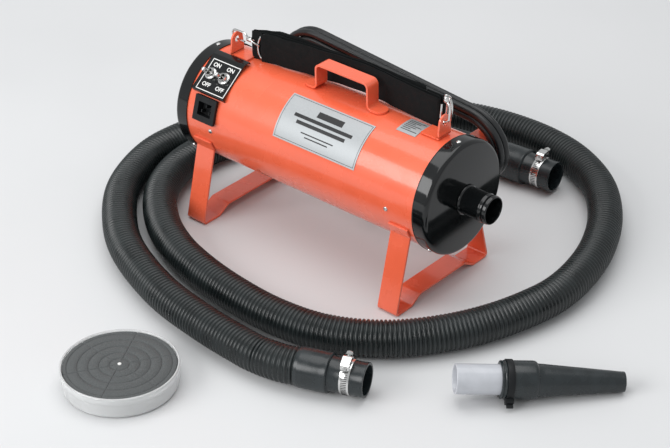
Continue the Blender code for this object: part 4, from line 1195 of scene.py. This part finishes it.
def cuff(letter, mouth, turn, clamp_angle):
    """A moulded cuff with a worm-drive clamp: slotted band, housing and screw."""
    a = math.radians(turn)
    place = facing((*mouth, CUFF_Z), (-math.cos(a), -math.sin(a), 0))
    outside = [(19.35, 3.0), (19.35, 0.5), (19.9, 0.0), (22.0, 0.0), (22.5, 0.5), (22.5, 3.0),
               (22.1, 6.0), (22.1, 15.0), (22.1, 33.5), (22.3, 44.6), (22.9, 46.2),
               (25.3, 47.0), (26.1, 48.0), (26.2, 49.6), (25.9, 51.2), (26.0, 58.0), (26.2, 84.5),
               (26.0, 86.0), (25.4, 87.5), (25.4, 89.4), (25.0, 90.0),
               (24.9, 90.0), (24.9, 52.3), (19.35, 52.3)]
    pieces = [new_piece(f"cuff_{letter}_moulding", lathe_mm("cuff", outside), CUFF_VINYL,
                        "dryer", place, (f"cuff_{letter}",), 35)]
    band_in, band_out = 22.4 * MM, 23.3 * MM
    band = [(band_in, 17.5 * MM), (band_out - 0.2 * MM, 17.5 * MM), (band_out, 17.8 * MM),
            (band_out, 29.9 * MM), (band_out - 0.2 * MM, 30.2 * MM), (band_in, 30.2 * MM)]
    up = place @ spin(clamp_angle)
    middle = 23.85 * MM
    notch = [block("notch", (0.5 * MM, 0.9 * MM, 7.5 * MM),
                   spin(14 + 6.4 * i) @ shift(band_out, 0, middle)
                   @ Matrix.Rotation(0.12, 4, "X")) for i in range(52)]
    saddle = [(-6.6, -0.6), (-6.6, 3.6), (-4.0, 7.6), (-1.0, 9.4), (9.0, 9.4), (11.6, 7.6),
              (12.6, 3.6), (12.6, 1.0)]
    housing = bent_strip("housing", [(y * MM, x * MM) for y, x in
                                     rounded_profile(saddle, 2.2, 4)], 11.4 * MM, 0.9 * MM)
    housing = moved(housing, shift(band_out, 0, middle)
                    @ Matrix(((0, 1, 0, 0), (1, 0, 0, 0), (0, 0, 1, 0), (0, 0, 0, 1))))
    clamp = joined("clamp", [lathe("band", band, 72), housing])
    pieces.append(new_piece(f"clamp_{letter}_band", clamp, STEEL, "dryer", up,
                            (f"cuff_{letter}_clamp",), 35))
    pieces.append(new_piece(f"clamp_{letter}_slots", joined("slots", notch), INK_AND_PAINTED_SHADE,
                            "dryer", up))
    screw_place = up @ shift(band_out + 4.9 * MM, 0, middle) @ spin(-90, "X")
    thread = []
    for i in range(16):
        z = -9.0 + 1.35 * i
        thread += [(3.0, z), (3.6, z + 0.45), (3.6, z + 0.75), (3.0, z + 1.2)]
    screw = [(0, -9.4)] + thread + [(2.6, 13.0), (2.6, 13.6), (5.0, 13.6), (5.0, 14.3)]
    screw += [(4.4, 14.5), (4.4, 18.4), (3.9, 19.0), (0, 19.0)]
    worm = new_piece(f"clamp_{letter}_worm", lathe_mm("worm", screw, 6), STEEL,
                     f"cuff_{letter}_clamp_screw", screw_place,
                     (f"cuff_{letter}_clamp_screw",), 25)
    # The black block in the screw's head is painted shade: it stands in for the dark recess of the
    # screw's slot.
    slot = new_piece(f"clamp_{letter}_slot", block("slot", (6.4 * MM, 1.1 * MM, 1.0 * MM)),
                     INK_AND_PAINTED_SHADE, f"cuff_{letter}_clamp_screw",
                     screw_place @ shift(0, 0, 18.7 * MM))
    return pieces + [worm, slot]


# ---------------------------------------------------------------- nozzle
NOZZLE_MOUTH = (0.3603, -0.1886, 0.0340)
NOZZLE_TURN, NOZZLE_DIP = math.radians(46.2), math.radians(5.6)
TIE_TURN = math.radians(220)


def nozzle():
    """A grey pipe pushed into a tapered cone, with a cable tie round the cone's sleeve."""
    forward = (math.cos(NOZZLE_TURN) * math.cos(NOZZLE_DIP),
               math.sin(NOZZLE_TURN) * math.cos(NOZZLE_DIP), -math.sin(NOZZLE_DIP))
    place = facing(NOZZLE_MOUTH, forward)
    outer, wall = 19.0, 2.2
    pipe = [(outer - wall, 0.8), (outer - wall + 0.5, 0.0), (outer - 0.5, 0.0), (outer, 0.6),
            (outer, 93.0), (outer - wall, 93.0)]
    new_piece("nozzle_pipe", lathe_mm("pipe", pipe, 72), GREY_PVC,
              "nozzle_tube", place, ("nozzle_tube",), 35)
    sleeve = [(19.3, 55.6), (22.4, 55.6), (23.6, 56.2), (24.0, 57.4), (23.4, 58.4), (23.4, 59.4),
              (24.1, 60.2), (24.1, 62.0), (23.8, 62.6), (23.8, 71.0), (24.0, 72.0), (24.2, 97.0),
              (23.9, 99.4), (22.8, 101.2), (21.4, 102.2), (20.7, 104.0), (20.4, 110.0),
              (19.4, 122.0), (16.6, 160.0), (13.1, 206.0), (12.9, 208.6), (13.0, 211.4),
              (12.6, 212.3), (11.2, 212.5), (10.5, 211.8), (16.8, 108.0), (19.3, 93.3)]
    new_piece("nozzle_cone_moulding", lathe_mm("cone", sleeve, 72),
              CUFF_VINYL, "nozzle_cone", place, ("nozzle_cone",), 30)
    tie = [(24.2, 62.4), (25.4, 62.4), (25.7, 63.0), (25.7, 70.4), (25.4, 71.0), (24.2, 71.0)]
    turned = place @ Matrix.Rotation(TIE_TURN, 4, "Z")
    head = moved(block("head", (6.4 * MM, 10.5 * MM, 10.0 * MM)),
                 shift(27.6 * MM, 0, 66.7 * MM))
    tail = moved(block("tail", (7.0 * MM, 2.4 * MM, 8.6 * MM)),
                 shift(33.0 * MM, -1.8 * MM, 66.7 * MM) @ spin(-14))
    new_piece("nozzle_tie_band", joined("tie", [lathe_mm("band", tie, 72), head, tail]),
              BLACK_PLASTIC, "nozzle_cone", turned, ("nozzle_tie",), 35,
              0.3 * MM)


# ---------------------------------------------------------------- spare filter
DISH_CENTRE = (0.0202, -0.4290, 0.0)
DISH_R = 74.0 * MM
FOAM_R = 71.6 * MM
FOAM_TOP = 29.2 * MM


def ring_of(shape, radius, height, sides):
    """A loop of vertices on a circle; height is worked out from the angle."""
    turns = (2 * math.pi * i / sides for i in range(sides))
    return [shape.verts.new((radius * math.cos(a), radius * math.sin(a), height(a)))
            for a in turns]


def spare_filter():
    """The milky dish and the foam disc in it, moulded with rings and spokes."""
    place = Matrix.Translation(DISH_CENTRE)
    wall, high = 1.4 * MM, 30 * MM
    dish = [(0, 0), (DISH_R - 5 * MM, 0), (DISH_R - 2.2 * MM, 0.6 * MM),
            (DISH_R - 0.8 * MM, 2.4 * MM), (DISH_R - 0.3 * MM, 6 * MM), (DISH_R, high - 10.5 * MM),
            (DISH_R + 1.0 * MM, high - 10 * MM), (DISH_R + 1.2 * MM, high - 9.4 * MM),
            (DISH_R + 1.2 * MM, high - 0.5 * MM), (DISH_R + 0.7 * MM, high),
            (DISH_R - wall + 0.4 * MM, high), (DISH_R - wall, high - 0.5 * MM),
            (DISH_R - wall - 0.8 * MM, 5 * MM), (DISH_R - wall - 2.4 * MM, 2.2 * MM),
            (DISH_R - wall - 5 * MM, wall), (0, wall)]
    new_piece("filter_dish_moulding", lathe("dish", dish, 120), CLEAR,
              "filter_dish", place, ("filter_dish",), 40)
    rings = [12.4 * MM, 25.6 * MM, 39.1 * MM, 52.7 * MM, 66.0 * MM]
    groove, deep, spokes = 1.1 * MM, 0.9 * MM, 6
    shape = bmesh.new()
    sides = 480
    radii = sorted({round(r, 6) for r in
                    [FOAM_R - 1.2 * MM, FOAM_R - 3 * MM, 4.5 * MM, 3.0 * MM]
                    + [ring + d * groove for ring in rings for d in (-1, -0.5, 0, 0.5, 1)]
                    + [ring + 5 * MM for ring in rings if ring + 5 * MM < FOAM_R]})

    def height(r, a):
        drop = max([0.0] + [1 - abs(r - ring) / groove for ring in rings])
        turn = (a * spokes / (2 * math.pi) + 0.5) % 1 - 0.5
        aside = abs(turn) * 2 * math.pi / spokes * r
        if r > 6 * MM:
            drop = max(drop, 1 - aside / groove)
        return FOAM_TOP - deep * max(0.0, drop) - 0.6 * MM * (r / FOAM_R) ** 6

    centre = shape.verts.new((0, 0, FOAM_TOP))
    low = shape.verts.new((0, 0, wall + 0.3 * MM))
    loops = [ring_of(shape, r, lambda a, r=r: height(r, a), sides) for r in radii]
    for r, z in ((FOAM_R, FOAM_TOP - 2.4 * MM), (FOAM_R - 0.5 * MM, wall + 3.4 * MM),
                 (FOAM_R - 3.2 * MM, wall + 0.3 * MM)):
        loops.append(ring_of(shape, r, lambda a, z=z: z, sides))
    for i in range(sides):
        j = (i + 1) % sides
        shape.faces.new((centre, loops[0][i], loops[0][j]))
        shape.faces.new((low, loops[-1][j], loops[-1][i]))
        for a, b in zip(loops, loops[1:]):
            shape.faces.new((a[i], b[i], b[j], a[j]))
    foam = new_piece("foam_disc", mesh_of(shape, "foam_disc"), FOAM, "foam_filter",
                     place @ spin(-2), ("foam_filter",), 60)
    nub = [(0, FOAM_TOP - 1 * MM), (2.4 * MM, FOAM_TOP - 1 * MM), (2.4 * MM, FOAM_TOP + 0.8 * MM),
           (1.6 * MM, FOAM_TOP + 1.3 * MM), (0, FOAM_TOP + 1.4 * MM)]
    new_piece("foam_nub", lathe("nub", nub, 24), WHITE_INK, "foam_filter",
              place)


# ---------------------------------------------------------------- build it
camera()
studio()
dress_cad_nodes()
for entry in ("power_inlet", "switch_1_body", "switch_2_body"):
    soften_node(entry, 0.6 * MM)

hose_piece, hose_path = hose()
cuff_pieces = cuff("a", CUFF_A_MOUTH, CUFF_A_TURN, 66) + cuff("b", CUFF_B_MOUTH, CUFF_B_TURN, 86)
tuple(hose_path[0])
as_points(hose_path)
power_cord()

body()
end_caps()
stands()
handle()
lugs()
cord_brackets()
screws()
name_plate()
rating_plate()
switch_panel()
toggles()
shoulder_strap()
strap_ring("left", (-0.1320, 0.0040, 0.2325), (-0.1268, 0.0055, 0.2690),
           (-0.0095, -0.001, 0.001))
strap_ring("right", (0.1750, 0.0188, 0.2318), (0.1820, 0.0160, 0.2768), (0.0095, -0.002, 0.002))
hook("left", (LUG_LEFT_X + 0.0292, 0, LUG_HOLE_Z + HOOK_BEND), (-1, 0, 0), (0, 0, 1),
     (-0.1385, 0.0040, 0.2520))
hook("right", (LUG_RIGHT_X, 0.0040, 0.2500 + HOOK_LONG), (0, -0.0040, -HOOK_LONG), (1, 0, 0),
     (0.1835, 0.0155, 0.2760))
nozzle()
spare_filter()
